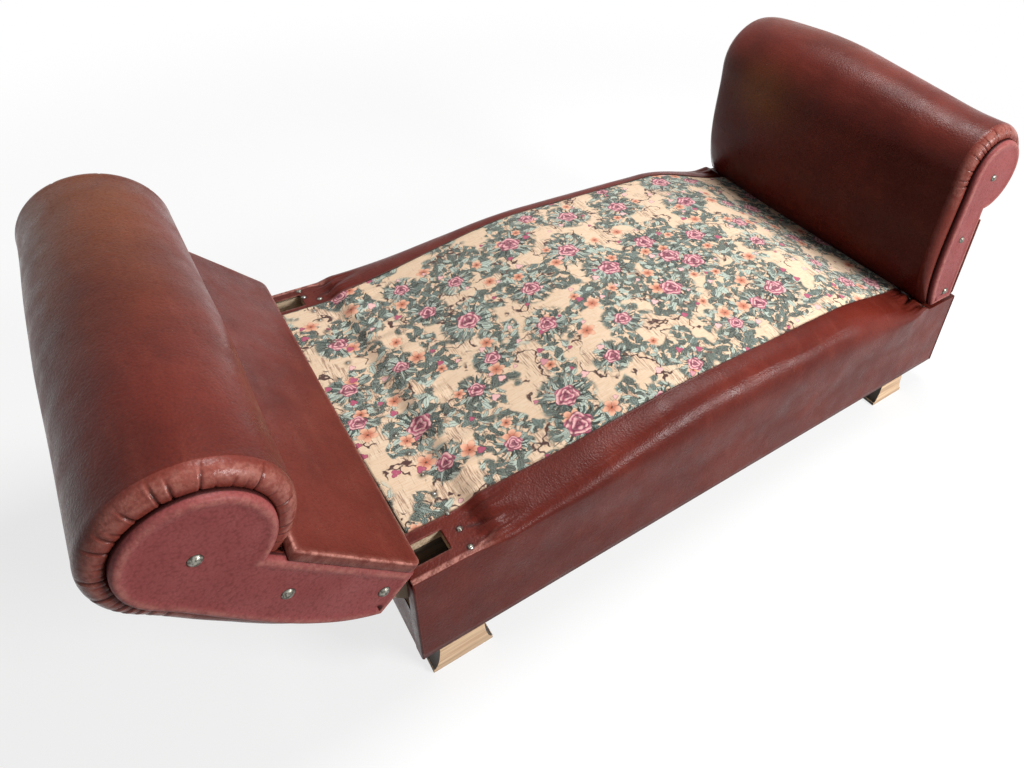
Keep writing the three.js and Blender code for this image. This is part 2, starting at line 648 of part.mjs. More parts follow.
// Arm: two fascias with domed bolts, a stuffed pad round a core, a flat back panel and two tongues
function armGroup(name, pivotV, fullness) {
  const arm = new THREE.Group();
  const add = (piece, geometry, finish) => {
    geometry.translate(-pivotV, 0, PIVOT_DEPTH);
    return addPiece(arm, `${name}_${piece}`, geometry, finish);
  };
  const fascia = fasciaGeometry();
  add('fascia_near', fascia.clone(), 'leatherette');
  add('fascia_far', flip(fascia), 'leatherette');
  BOLT_PLACES.forEach(({ inset, height }, i) => {
    const bolt = boltGeometry().translate(-inset, BOLT_LENGTH - TOUCH_GAP, height);
    add(`bolt_near_${i + 1}`, bolt.clone(), 'steel');
    add(`bolt_far_${i + 1}`, flip(bolt), 'steel');
  });
  add('pad', padGeometry(fullness), 'leatherette');

  const inner = FASCIA_THICKNESS + 2 * TOUCH_GAP;
  const core = new THREE.CylinderGeometry(CORE_RADIUS, CORE_RADIUS, ARM_WIDTH - 2 * inner, 24);
  add('scroll_core', core.translate(-SCROLL_INSET, ARM_WIDTH / 2, SCROLL_HEIGHT), 'light_wood');

  const railY = SLOT_Y + SWING_GAP + TONGUE_WIDTH + TOUCH_GAP;
  const rail = boxBetween(
    [-FRONT_WALL_INSET + TOUCH_GAP, railY, ARM_FOOT_GAP],
    [-ARM_BACK_INSET - TOUCH_GAP, ARM_WIDTH - railY, ARM_FOOT_GAP + ARM_RAIL_HEIGHT],
  );
  add('bottom_rail', rail, 'light_wood');
  add('back_panel', panelGeometry(), 'leatherette');

  const tongue = tongueGeometry(pivotV);
  add('tongue_near', tongue.clone(), 'light_wood');
  add('tongue_far', flip(tongue), 'light_wood');
  return arm;
}

// The left arm at rest leans out; the right arm stands upright
function addArms() {
  const left = armGroup('left_arm', PIVOT_INSET - LEFT_ARM_SHIFT, PAD_BULGES.left);
  left.position.set(PIVOT_INSET, 0, PIVOT_HEIGHT);
  left.rotation.y = -LEAN;
  couch.add(left);
  const right = armGroup('right_arm', -PIVOT_INSET, PAD_BULGES.right);
  right.position.set(BASE_LENGTH - PIVOT_INSET, 0, PIVOT_HEIGHT);
  couch.add(right);
}

addFeet();
addBaseFrame();
addEdges();
addSeat();
addEndCovers();
addArms();

// The origin is the middle of the couch's outline, on the floor
couch.updateMatrixWorld(true);
const outlineBox = new THREE.Box3().setFromObject(couch, true);
const middle = outlineBox.getCenter(new THREE.Vector3());
couch.position.set(-middle.x, -middle.y, -outlineBox.min.z);
couch.updateMatrixWorld(true);

export default couch;
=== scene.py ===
# Leatherette fainting couch with a tapestry seat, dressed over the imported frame
import math

import bmesh
import bpy
import numpy as np
from mathutils import Matrix, Vector


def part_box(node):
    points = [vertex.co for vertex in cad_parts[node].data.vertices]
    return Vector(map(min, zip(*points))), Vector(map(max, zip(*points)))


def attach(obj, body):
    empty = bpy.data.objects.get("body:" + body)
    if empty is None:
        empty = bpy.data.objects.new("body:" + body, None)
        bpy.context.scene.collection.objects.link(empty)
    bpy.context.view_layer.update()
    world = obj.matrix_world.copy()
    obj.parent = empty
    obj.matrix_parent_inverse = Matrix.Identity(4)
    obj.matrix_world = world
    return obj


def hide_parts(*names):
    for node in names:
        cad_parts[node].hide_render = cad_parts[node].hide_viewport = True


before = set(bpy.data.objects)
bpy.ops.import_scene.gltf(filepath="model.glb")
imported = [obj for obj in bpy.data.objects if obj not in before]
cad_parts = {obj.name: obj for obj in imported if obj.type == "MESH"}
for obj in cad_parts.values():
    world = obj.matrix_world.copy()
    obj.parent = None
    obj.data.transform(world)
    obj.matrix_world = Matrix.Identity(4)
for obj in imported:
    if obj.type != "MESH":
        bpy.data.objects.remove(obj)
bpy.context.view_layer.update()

# Sizes in millimetres, measured from the near left corner of the base and from the floor
MM = 0.001
SKIN = 1.5
rail_low, rail_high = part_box("side_rail_near")
far_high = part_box("side_rail_far")[1]
CORNER = np.array([rail_low.x / MM - SKIN, rail_low.y / MM - SKIN, 0.0])
LENGTH = (rail_high.x - rail_low.x) / MM + 2 * SKIN
WIDTH = (far_high.y - rail_low.y) / MM + 2 * SKIN
BASE_FLOOR = 60.0
BASE_TOP = 255.0
BORDERS = {"near": (85.0, 64.0), "far": (76.0, 50.0)}
ROLL_RISE = 66.0
CROWN_RISE = 84.0
CROWN_FULLNESS = 2.4
ROLL_SWELL = 13.0
CORNER_ROUND = 4.0
FLAT_END = 104.0
LEFT_RUN = 480.0
RIGHT_RUN = 280.0
SLOT_NEAR = 25.8
SLOT_FAR = 63.8
SLOT_END = {"left": 70.0, "right": 94.0}
TAPESTRY_END = 22.0

# Arms, drawn upright: v across and 0 at the outer face, u up
BACK = -24.0
SCROLL_V = -28.0
SCROLL_U = 320.0
RADIUS = 80.0
FOOT_U = 7.6
FRONT_V = -98.0
BELLY = 34.0
BELLY_SHARES = (0.75, 0.34)
LEAN = math.radians(44)
PIVOT_V = -94.0
PIVOT_X = 38.0
PIVOT_DEPTH = 110.0
RIM = 26.0
FULLNESS_SHARES = {"left": ((0.0, 0.5, 1.0), (0.0, 1.0, 0.0)),
                   "right": ((0.01, 0.12, 0.27, 0.42, 0.58, 0.71, 0.84, 0.93, 0.97, 1.0),
                             (0.0, 0.05, 0.34, 0.64, 0.94, 1.0, 0.86, 0.66, 0.38, 0.0))}
FULLNESS = {"left": 5.0, "right": 34.0}
GROOVE = 13.0
BOLTS = [(-36.0, 320.0), (-72.0, 178.0), (-59.0, 35.6)]
BOLT_RADIUS = 8.5
BOLT_HEIGHT = 5.0
BOLT_SEAT = 1.6
PANEL_TOP = 214.0
PANEL_THICKNESSES = {"left": 15.0, "right": 7.0}


def smooth(a, b, x):
    t = np.clip((np.asarray(x, float) - a) / (b - a), 0, 1)
    return t * t * (3 - 2 * t)


def framed(points):
    return (np.asarray(points, float) + CORNER) * MM


def arm_points(side, v, y, u):
    v, y, u = np.broadcast_arrays(v, y, u)
    if side == "right":
        return np.stack([LENGTH + v, y, BASE_TOP + u], -1)
    across, up = v - PIVOT_V, u + PIVOT_DEPTH
    return np.stack([
        PIVOT_X + across * math.cos(LEAN) - up * math.sin(LEAN),
        y,
        BASE_TOP - PIVOT_DEPTH + across * math.sin(LEAN) + up * math.cos(LEAN),
    ], -1)


# Shader trees
class Field:
    """A socket in a shader tree that can be used in sums."""

    def __init__(self, tree, socket):
        self.tree, self.socket = tree, socket

    def do(self, operation, *others):
        made = put(self.tree, "ShaderNodeMath", dict(enumerate((self, *others))), operation=operation)
        return Field(self.tree, made.outputs[0])

    def __add__(self, other):
        return self.do("ADD", other)

    def __sub__(self, other):
        return self.do("SUBTRACT", other)

    def __rsub__(self, other):
        return self.do("MULTIPLY", -1.0).do("ADD", other)

    def __mul__(self, other):
        return self.do("MULTIPLY", other)

    def __truediv__(self, other):
        return self.do("DIVIDE", other)

    __radd__ = __add__
    __rmul__ = __mul__

    def ramp(self, low, high, to_low=0.0, to_high=1.0):
        made = put(self.tree, "ShaderNodeMapRange", {
            "Value": self, "From Min": low, "From Max": high, "To Min": to_low, "To Max": to_high,
        }, interpolation_type="SMOOTHSTEP")
        return Field(self.tree, made.outputs["Result"])


def link(tree, value, place):
    if isinstance(value, Field):
        tree.links.new(value.socket, place)
    elif isinstance(value, bpy.types.NodeSocket):
        tree.links.new(value, place)
    else:
        place.default_value = value


def feed(tree, node, inputs):
    for key, value in inputs.items():
        link(tree, value, node.inputs[key])


def put(tree, kind, inputs=None, **settings):
    made = tree.nodes.new(kind)
    for key, value in settings.items():
        setattr(made, key, value)
    feed(tree, made, inputs or {})
    return made


def mixed(share, one, other):
    """One colour turning into another. A colour is a socket or three values."""
    one, other = ((*c, 1.0) if isinstance(c, tuple) else c for c in (one, other))
    return put(share.tree, "ShaderNodeMix", {0: share, 6: one, 7: other}, data_type="RGBA").outputs[2]


def noise(vector, scale, detail=3.0, roughness=0.5):
    made = put(vector.tree, "ShaderNodeTexNoise", {
        "Vector": vector, "Scale": scale, "Detail": detail, "Roughness": roughness,
    })
    return Field(vector.tree, made.outputs[0])


def threads(vector, direction, scale, distortion=0.0):
    """Even threads side by side along one axis."""
    made = put(vector.tree, "ShaderNodeTexWave", {
        "Vector": vector, "Scale": scale, "Distortion": distortion,
    }, bands_direction=direction)
    return Field(vector.tree, made.outputs[1])


def stretched(vector, scale, turn=0.0):
    """The place scaled along its axes and turned about the upright, in radians."""
    made = put(vector.tree, "ShaderNodeMapping", {
        "Vector": vector, "Scale": scale, "Rotation": (0.0, 0.0, turn),
    })
    return Field(vector.tree, made.outputs[0])


def vector_sum(operation, one, other):
    made = put(one.tree, "ShaderNodeVectorMath", {0: one, 1: other}, operation=operation)
    return Field(one.tree, made.outputs[0])


def attribute(tree, name):
    return Field(tree, put(tree, "ShaderNodeAttribute", attribute_name=name).outputs["Fac"])


def fresh_tree(owner):
    owner.use_nodes = True
    owner.node_tree.nodes.clear()
    return owner.node_tree


def new_material(name):
    material = bpy.data.materials.new(name)
    tree = fresh_tree(material)
    shader = put(tree, "ShaderNodeBsdfPrincipled")
    put(tree, "ShaderNodeOutputMaterial", {0: shader.outputs[0]})
    place = Field(tree, put(tree, "ShaderNodeTexCoord").outputs["Object"])
    return material, tree, shader, place


def bumped(shader, height, strength, distance, under=None):
    inputs = {"Height": height, "Strength": strength, "Distance": distance}
    if under is not None:
        inputs["Normal"] = under
    made = put(height.tree, "ShaderNodeBump", inputs)
    feed(height.tree, shader, {"Normal": made.outputs[0]})
    return made.outputs[0]


WARM_BROWN = (0.215, 0.070, 0.014)
GRAIN_DARK = (0.035, 0.006, 0.004)
SPECK = (0.42, 0.25, 0.2)
RUBBED_AND_HIGHLIGHT = (0.46, 0.2, 0.16)
DIRT_AND_SHADE = (0.020, 0.006, 0.005)


def leatherette(name, dark, middle, light, gloss):
    """Oxblood leatherette: pebbled grain, mottled tone, pale specks, paler edges for scuffing and a painted
    highlight, and creases darker with dirt and painted shade.
    """
    material, tree, shader, place = new_material(name)
    cloud = noise(place, 7.0, 4.0, 0.6)
    streak = noise(stretched(place, (40.0, 9.0, 30.0)), 1.0, 4.0, 0.6)
    tone = mixed(cloud.ramp(0.3, 0.72), dark, middle)
    tone = mixed(streak.ramp(0.5, 0.8, 0.0, 0.3), tone, light)
    # Painted warm light along the scrolls' tops, and a warm brown blot on the right arm
    warm = attribute(tree, "warm")
    tone = mixed(warm * cloud.ramp(0.22, 0.5, 0.35, 1.0), tone, WARM_BROWN)
    grain = put(tree, "ShaderNodeTexVoronoi", {"Vector": place, "Scale": 330.0}, feature="SMOOTH_F1")
    pebble = Field(tree, grain.outputs["Distance"])
    tone = mixed(pebble.ramp(0.3, 0.8, 0.0, 0.3), tone, GRAIN_DARK)
    spots = put(tree, "ShaderNodeTexVoronoi", {"Vector": place, "Scale": 55.0})
    pick = Field(tree, put(tree, "ShaderNodeSeparateColor", {"Color": spots.outputs["Color"]}).outputs[0])
    speck = Field(tree, spots.outputs["Distance"]).ramp(0.022, 0.034, 1.0, 0.0) * pick.ramp(0.68, 0.7)
    tone = mixed(speck * 0.6, tone, SPECK)
    # Paler edges and gathers' crests: scuffing and a painted highlight
    patchiness = noise(place, 90.0, 5.0, 0.7)
    wear_and_highlight = attribute(tree, "wear_and_highlight") * patchiness.ramp(0.38, 0.62, 0.25, 1.0)
    tone = mixed(wear_and_highlight, tone, RUBBED_AND_HIGHLIGHT)
    # Darker creases and grooves: dirt and painted shade
    crease = attribute(tree, "crease")
    tone = mixed(crease.ramp(0.0, 1.0, 0.0, 0.86), tone, DIRT_AND_SHADE)
    sheen = noise(place, 24.0, 3.0)
    rough = sheen.ramp(0.3, 0.7, gloss - 0.05, gloss + 0.09) + pebble.ramp(0.3, 0.8, 0.0, 0.08)
    feed(tree, shader, {"Base Color": tone, "Roughness": rough, "Specular IOR Level": 0.12})
    skin = noise(place, 150.0, 4.0, 0.6)
    under = bumped(shader, skin, 0.3, 0.0012)
    wrinkle = noise(place, 30.0, 3.0, 0.5)
    under = bumped(shader, wrinkle, 0.14, 0.004, under)
    bumped(shader, pebble * -1.0, 0.4, 0.0008, under)
    return material


def wood(name, along, dark, light, rough=0.55):
    """Planed wood with long grain lines, darker rings and a slow change of tone."""
    material, tree, shader, place = new_material(name)
    scale = [260.0, 260.0, 260.0]
    scale[along] = 9.0
    lines = noise(stretched(place, tuple(scale)), 1.0, 5.0, 0.6)
    scale[along] = 3.0
    rings = noise(stretched(place, tuple(s / 5 for s in scale)), 1.0, 3.0, 0.5)
    tone = mixed(lines.ramp(0.36, 0.64), dark, light)
    tone = mixed(rings.ramp(0.45, 0.7, 0.0, 0.45), tone, tuple(0.62 * c for c in dark))
    patch = noise(place, 12.0, 4.0).ramp(0.4, 0.75, 0.0, 0.3)
    tone = mixed(patch, tone, tuple(0.8 * c for c in light))
    dull = lines.ramp(0.3, 0.7, rough - 0.08, rough + 0.1)
    feed(tree, shader, {"Base Color": tone, "Roughness": dull})
    bumped(shader, lines, 0.25, 0.0004)
    return material


def metal(name, dark, light, rough):
    """Antique steel: bright and brown in patches, dull where the finish has gone, and darker towards the rim
    with dirt and painted shade where the head meets the surface.
    """
    material, tree, shader, place = new_material(name)
    patch = noise(place, 260.0, 4.0, 0.6)
    tone = mixed(patch.ramp(0.4, 0.65), dark, light)
    # Darker rim: dirt and painted shade
    tone = mixed(attribute(tree, "crease"), tone, (0.03, 0.022, 0.016))
    dull = patch.ramp(0.35, 0.7, rough + 0.12, rough - 0.05)
    feed(tree, shader, {"Base Color": tone, "Metallic": 0.9, "Roughness": dull})
    bumped(shader, patch, 0.2, 0.0003)
    return material


def cloth(name, tone_one, tone_two):
    """Plain stuffing cloth with a coarse weave."""
    material, tree, shader, place = new_material(name)
    weave = threads(place, "X", 320.0) * threads(place, "Y", 320.0)
    tone = mixed(noise(place, 30.0).ramp(0.35, 0.65), tone_one, tone_two)
    feed(tree, shader, {"Base Color": tone, "Roughness": 0.95})
    bumped(shader, weave, 0.4, 0.0008)
    return material


# Tapestry: a generic floral of roses, coral blossoms, leaf sprays and twigs on a cream ground
CREAM = (0.76, 0.59, 0.43)
PEACH = (0.66, 0.45, 0.29)
SLATE = (0.016, 0.018, 0.015)
MOSS = (0.036, 0.050, 0.042)
MINT = (0.46, 0.53, 0.455)
TEAL = (0.085, 0.122, 0.112)
ROSE = (0.42, 0.085, 0.15)
DEEP = (0.13, 0.018, 0.045)
BLUSH = (0.78, 0.46, 0.44)
CORAL = (0.50, 0.15, 0.085)
SALMON = (0.76, 0.42, 0.28)
TWIG = (0.07, 0.030, 0.026)
THREAD_TURN = 0.3


def cells(vector, spacing, shift, randomness=1.0):
    """Cells of about one spacing: place within the cell, its distance, angle and three random values."""
    tree = vector.tree
    moved = vector_sum("ADD", vector, (shift, shift * 0.7, 0.0))
    made = put(tree, "ShaderNodeTexVoronoi", {
        "Vector": moved, "Scale": 1.0 / spacing, "Randomness": randomness,
    }, voronoi_dimensions="2D")
    local = vector_sum("SUBTRACT", moved, made.outputs["Position"])
    parts = put(tree, "ShaderNodeSeparateXYZ", {"Vector": local})
    x, y = Field(tree, parts.outputs[0]), Field(tree, parts.outputs[1])
    pick = put(tree, "ShaderNodeSeparateColor", {"Color": made.outputs["Color"]})
    random = [Field(tree, pick.outputs[i]) for i in range(3)]
    reach = (x * x + y * y).do("SQRT")
    angle = y.do("ARCTAN2", x)
    return x, y, reach, angle, random


def leaves(tone, vector, spacing, shift, where):
    """One layer of pointed leaves, each turned its own way, with a dark outline, a dark vein and pale
    hatching.
    """
    x, y, _, _, (turn, shade, size) = cells(vector, spacing, shift)
    angle = turn * (2 * math.pi)
    cos, sin = angle.do("COSINE"), angle.do("SINE")
    along = x * cos + y * sin
    across = (y * cos - x * sin).do("ABSOLUTE")
    half = size.ramp(0.0, 1.0, 0.46 * spacing, 0.72 * spacing)
    share = along / half
    teeth = ((along - across * 0.8) * (22.0 / spacing)).do("SINE") * (0.028 * spacing)
    inside = (1.0 - share * share) * (half * 0.42) - across + teeth * (1.0 - share.do("ABSOLUTE"))
    mask = inside.ramp(0.0, 0.5) * where
    fill = mixed(shade.ramp(0.36, 0.4), MOSS, TEAL)
    fill = mixed(shade.ramp(0.58, 0.62), fill, MINT)
    fill = mixed(shade.ramp(0.84, 0.87), fill, SLATE)
    hatch = ((along + across * 1.4) * 1.7).do("SINE").ramp(0.25, 0.9, 0.0, 0.62)
    fill = mixed(hatch, fill, MINT)
    fill = mixed(inside.ramp(0.5, 1.5, 0.95, 0.0), fill, SLATE)
    fill = mixed(across.ramp(0.3, 0.7, 0.75, 0.0), fill, SLATE)
    return mixed(mask, tone, fill)


def tapestry_material():
    material, tree, shader, place = new_material("tapestry_weave")
    flat = stretched(place, (1 / MM, 1 / MM, 0.0), THREAD_TURN)
    wobble = put(tree, "ShaderNodeTexNoise", {"Vector": flat, "Scale": 0.16, "Detail": 3.0})
    push = vector_sum("SUBTRACT", Field(tree, wobble.outputs[1]), (0.5, 0.5, 0.5))
    push = put(tree, "ShaderNodeVectorMath", {0: push, "Scale": 5.0}, operation="SCALE").outputs[0]
    drawn = vector_sum("ADD", flat, push)

    slub = noise(stretched(place, (60.0, 900.0, 60.0), THREAD_TURN), 1.0, 4.0, 0.6)
    tone = mixed(slub.ramp(0.35, 0.7), CREAM, PEACH)
    tone = mixed(noise(flat, 0.011, 3.0).ramp(0.35, 0.65, 0.0, 0.35), tone, (0.70, 0.52, 0.34))
    scratch = noise(stretched(place, (700.0, 45.0, 60.0), 0.6), 1.0, 3.0, 0.5)
    tone = mixed(scratch.ramp(0.62, 0.7, 0.0, 0.4), tone, (0.40, 0.22, 0.12))

    _, _, rose_reach, rose_angle, rose_pick = cells(flat, 128.0, 31.0, 0.74)
    radius = rose_pick[2].ramp(0.0, 1.0, 16.0, 25.0)
    near_rose = rose_reach / radius

    # Drifts of foliage, denser round the roses
    drift = noise(flat, 0.0105, 2.0, 0.5)
    dense = drift.ramp(0.48, 0.51).do("MAXIMUM", near_rose.ramp(1.9, 2.5, 1.0, 0.0))

    # Engraved ground between the drifts: short brown strokes in patches
    strokes = noise(stretched(place, (520.0, 34.0, 60.0), 1.15), 1.0, 3.0, 0.6)
    patch = noise(flat, 0.017, 2.0).ramp(0.5, 0.56)
    tone = mixed(strokes.ramp(0.52, 0.57, 0.0, 0.7) * patch, tone, (0.24, 0.125, 0.085))
    tone = mixed(strokes.ramp(0.36, 0.4, 0.6, 0.0) * patch, tone, (0.84, 0.72, 0.56))

    # Twigs
    ridge = (noise(flat, 0.02, 3.0, 0.5) - 0.5).do("ABSOLUTE")
    lane = noise(flat, 0.016, 1.0).ramp(0.5, 0.54)
    tone = mixed(ridge.ramp(0.010, 0.022, 1.0, 0.0) * lane, tone, TWIG)
    fine = (noise(flat, 0.045, 3.0, 0.6) - 0.5).do("ABSOLUTE")
    tone = mixed(fine.ramp(0.008, 0.022, 0.8, 0.0) * dense, tone, (0.16, 0.10, 0.075))

    tone = leaves(tone, drawn, 27.0, 7.0, dense)
    tone = leaves(tone, drawn, 17.0, 91.0, dense)
    tone = leaves(tone, drawn, 32.0, 153.0, dense * noise(flat, 0.03, 1.0).ramp(0.45, 0.5))
    tone = leaves(tone, drawn, 21.0, 53.0, dense)

    # Sprays of narrow leaves round each rose
    turn = rose_angle / (2 * math.pi) * 19.0 + noise(flat, 0.03, 2.0) * 2.6
    lane = turn.do("FRACT") - 0.5
    leaf = turn.do("FLOOR") + rose_pick[0] * 91.0
    lot = Field(tree, put(tree, "ShaderNodeTexWhiteNoise", {"W": leaf}, noise_dimensions="1D").outputs[0])
    tip = radius * lot.ramp(0.0, 1.0, 1.6, 3.0)
    taper = (tip - rose_reach) / (tip - radius * 0.6)
    stroke = taper * 0.5 - lane.do("ABSOLUTE")
    fill = mixed(lot.ramp(0.3, 0.34), MOSS, TEAL)
    fill = mixed(lot.ramp(0.6, 0.64), fill, MINT)
    fill = mixed(lane.do("ABSOLUTE").ramp(0.03, 0.08, 0.7, 0.0), fill, SLATE)
    fill = mixed(stroke.ramp(0.06, 0.17, 0.95, 0.0), fill, SLATE)
    tone = mixed(stroke.ramp(0.0, 0.06), tone, fill)

    # Coral blossoms, five petals each
    _, _, reach, angle, pick = cells(drawn, 84.0, 177.0, 0.9)
    size = pick[1].ramp(0.0, 1.0, 11.0, 18.0) * pick[0].ramp(0.3, 0.32)
    petal = (angle * 2.5 + pick[2] * 6.0).do("COSINE").do("ABSOLUTE")
    edge = size * (petal * 0.4 + 0.62) - reach
    fill = mixed((reach / (size + 0.01)).ramp(0.15, 0.85), CORAL, SALMON)
    fill = mixed(petal.ramp(0.0, 0.3, 0.85, 0.0), fill, (0.25, 0.06, 0.04))
    fill = mixed(reach.ramp(1.6, 2.6, 1.0, 0.0), fill, (0.10, 0.035, 0.02))
    fill = mixed(edge.ramp(0.4, 1.3, 0.6, 0.0), fill, (0.33, 0.10, 0.07))
    tone = mixed(edge.ramp(0.0, 0.5), tone, fill)

    # Small buds
    _, _, reach, angle, pick = cells(drawn, 47.0, 311.0, 0.95)
    size = pick[1].ramp(0.0, 1.0, 5.0, 9.0) * pick[0].ramp(0.5, 0.52)
    edge = size * ((angle * 1.5).do("COSINE").do("ABSOLUTE") * 0.4 + 0.6) - reach
    fill = mixed(pick[2].ramp(0.4, 0.5), ROSE, BLUSH)
    fill = mixed(edge.ramp(0.5, 1.6, 0.85, 0.0), fill, DEEP)
    tone = mixed(edge.ramp(0.0, 0.5), tone, fill)

    # Roses: rings of curled petals
    scallop = (rose_angle * 5.0 + rose_pick[1] * 6.0).do("COSINE")
    edge = radius * (scallop * 0.1 + 0.95) - rose_reach
    curl = noise(flat, 0.09, 2.0)
    ring = (rose_reach / radius * 2.8 + curl * 1.2 + (rose_angle * 3.0).do("SINE") * 0.26).do("FRACT")
    petals = put(tree, "ShaderNodeTexVoronoi", {"Vector": drawn, "Scale": 0.115}, voronoi_dimensions="2D")
    facet = Field(tree, petals.outputs["Distance"])
    fill = mixed(ring.ramp(0.2, 0.8), ROSE, BLUSH)
    fill = mixed(facet.ramp(0.35, 0.75, 0.0, 0.85), fill, DEEP)
    fill = mixed(ring.ramp(0.06, 0.16, 0.75, 0.0), fill, DEEP)
    fill = mixed(near_rose.ramp(0.18, 0.3, 0.8, 0.0), fill, DEEP)
    fill = mixed(edge.ramp(0.6, 1.8, 0.7, 0.0), fill, DEEP)
    tone = mixed(edge.ramp(0.0, 0.6), tone, fill)

    # Threads
    turned = stretched(place, (1.0, 1.0, 1.0), THREAD_TURN)
    weft = threads(turned, "Y", 290.0, 0.6)
    warp = threads(turned, "X", 230.0, 0.6)
    tone = mixed(weft.ramp(0.0, 0.5, 0.16, 0.0), tone, (0.14, 0.10, 0.07))
    pale = noise(stretched(place, (900.0, 130.0, 60.0), THREAD_TURN), 1.0, 2.0)
    tone = mixed(pale.ramp(0.6, 0.75, 0.0, 0.28), tone, (0.78, 0.66, 0.5))
    # Darker seam and tack dimples: painted shade
    tone = mixed(attribute(tree, "crease").ramp(0.0, 1.0, 0.0, 0.8), tone, (0.07, 0.045, 0.03))
    feed(tree, shader, {
        "Base Color": tone, "Roughness": 0.88, "Specular IOR Level": 0.25, "Sheen Weight": 0.12,
    })
    under = bumped(shader, slub, 0.25, 0.0006)
    bumped(shader, weft * 0.6 + warp * 0.4, 0.35, 0.0005, under)
    return material


OXBLOOD = leatherette(
    "leatherette_oxblood", (0.080, 0.010, 0.006), (0.125, 0.018, 0.011), (0.195, 0.043, 0.028), 0.30)
# Lighter, pinker copies of the same leatherette for the gathered rims and the end panels: painted light on
# the faces that catch the lamp
RIM_SKIN_LIT = leatherette(
    "leatherette_gathered_lit", (0.125, 0.022, 0.015), (0.200, 0.042, 0.030), (0.300, 0.100, 0.080), 0.22)
FASCIA_SKIN_LIT = leatherette(
    "leatherette_fascia_lit", (0.205, 0.046, 0.044), (0.255, 0.063, 0.061), (0.310, 0.094, 0.090), 0.42)
TAPESTRY = tapestry_material()
OAK_FACE = wood("foot_oak", 0, (0.52, 0.32, 0.18), (0.78, 0.56, 0.36))
# The feet's end faces: a dark stain with painted shade
OAK_END = wood("foot_end", 2, (0.030, 0.022, 0.016), (0.085, 0.062, 0.045))
PINE_X, PINE_Y, PINE_Z = (
    wood(name, along, (0.38, 0.27, 0.17), (0.60, 0.47, 0.33), 0.65)
    for along, name in enumerate(("frame_pine_long", "frame_pine_cross", "frame_pine_upright"))
)
# Dark pine for the cheeks inside the slots: painted shade in the slots
PINE_PAINTED_SHADE = wood("frame_pine_painted_shade", 0, (0.050, 0.036, 0.025), (0.11, 0.08, 0.055), 0.75)
ANTIQUE = metal("antique_steel", (0.085, 0.078, 0.062), (0.33, 0.32, 0.28), 0.3)
STEEL = metal("pin_steel", (0.30, 0.30, 0.30), (0.55, 0.55, 0.54), 0.35)
STUFFING = cloth("stuffing_cloth", (0.62, 0.56, 0.44), (0.72, 0.67, 0.55))


# Meshes
def placed(name, data):
    made = bpy.data.objects.new(name, data)
    bpy.context.collection.objects.link(made)
    return made


def finished(name, mesh, materials, body, replaces=(), attributes=None):
    for key, values in (attributes or {}).items():
        made = mesh.attributes.new(key, "FLOAT", "POINT")
        made.data.foreach_set("value", np.asarray(values, np.float32).ravel())
    for material in materials:
        mesh.materials.append(material)
    piece = placed(name, mesh)
    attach(piece, body)
    if replaces:
        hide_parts(*replaces)
    return piece


def grid_faces(rows, cols, closed=False, start=0):
    i = np.arange(rows - 1)[:, None]
    j = np.arange(cols if closed else cols - 1)[None, :]
    k = (j + 1) % cols
    quads = np.stack([i * cols + j, i * cols + k, (i + 1) * cols + k, (i + 1) * cols + j], -1)
    return quads.reshape(-1, 4) + start


def capped_faces(rows, cols):
    """Faces of a stack of closed rings, with a cap on the first ring and on the last."""
    caps = [tuple(range(cols)), tuple((rows - 1) * cols + i for i in range(cols))]
    return list(grid_faces(rows, cols, True)) + caps


def build(points, faces, outward=True, flat=False):
    mesh = bpy.data.meshes.new("shape")
    corners = [tuple(p) for p in framed(np.asarray(points).reshape(-1, 3))]
    mesh.from_pydata(corners, [], [tuple(map(int, f)) for f in faces])
    work = bmesh.new()
    work.from_mesh(mesh)
    if outward:
        bmesh.ops.recalc_face_normals(work, faces=work.faces)
    for face in work.faces:
        face.smooth = not flat
    work.to_mesh(mesh)
    work.free()
    return mesh


def grid_normals(points, closed):
    along = np.gradient(points, axis=0)
    if closed:
        across = (np.roll(points, -1, 1) - np.roll(points, 1, 1)) / 2
    else:
        across = np.gradient(points, axis=1)
    normal = np.cross(across, along)
    return normal / np.maximum(np.linalg.norm(normal, axis=2, keepdims=True), 1e-9)


def ripple(a, b, seed):
    """A soft unevenness, in millimetres, over two coordinates in millimetres."""
    rng = np.random.default_rng(seed)
    total = 0
    for _ in range(6):
        fa, fb = rng.uniform(0.006, 0.028, 2)
        phase = rng.uniform(0, 6.28)
        total = total + np.sin(a * fa * rng.choice([-1, 1]) + b * fb + phase)
    return total / 6


def front_curve(start_v, foot_v, t):
    """The arm's front, from the side of the scroll down to the foot, with its belly."""
    one, two, three, four = (1 - t) ** 3, 3 * t * (1 - t) ** 2, 3 * t * t * (1 - t), t ** 3
    v = one * start_v + two * start_v + three * (start_v - BELLY) + four * foot_v
    u = (one + two * BELLY_SHARES[0] + three * BELLY_SHARES[1]) * SCROLL_U + four * FOOT_U
    return v, u + 0 * v


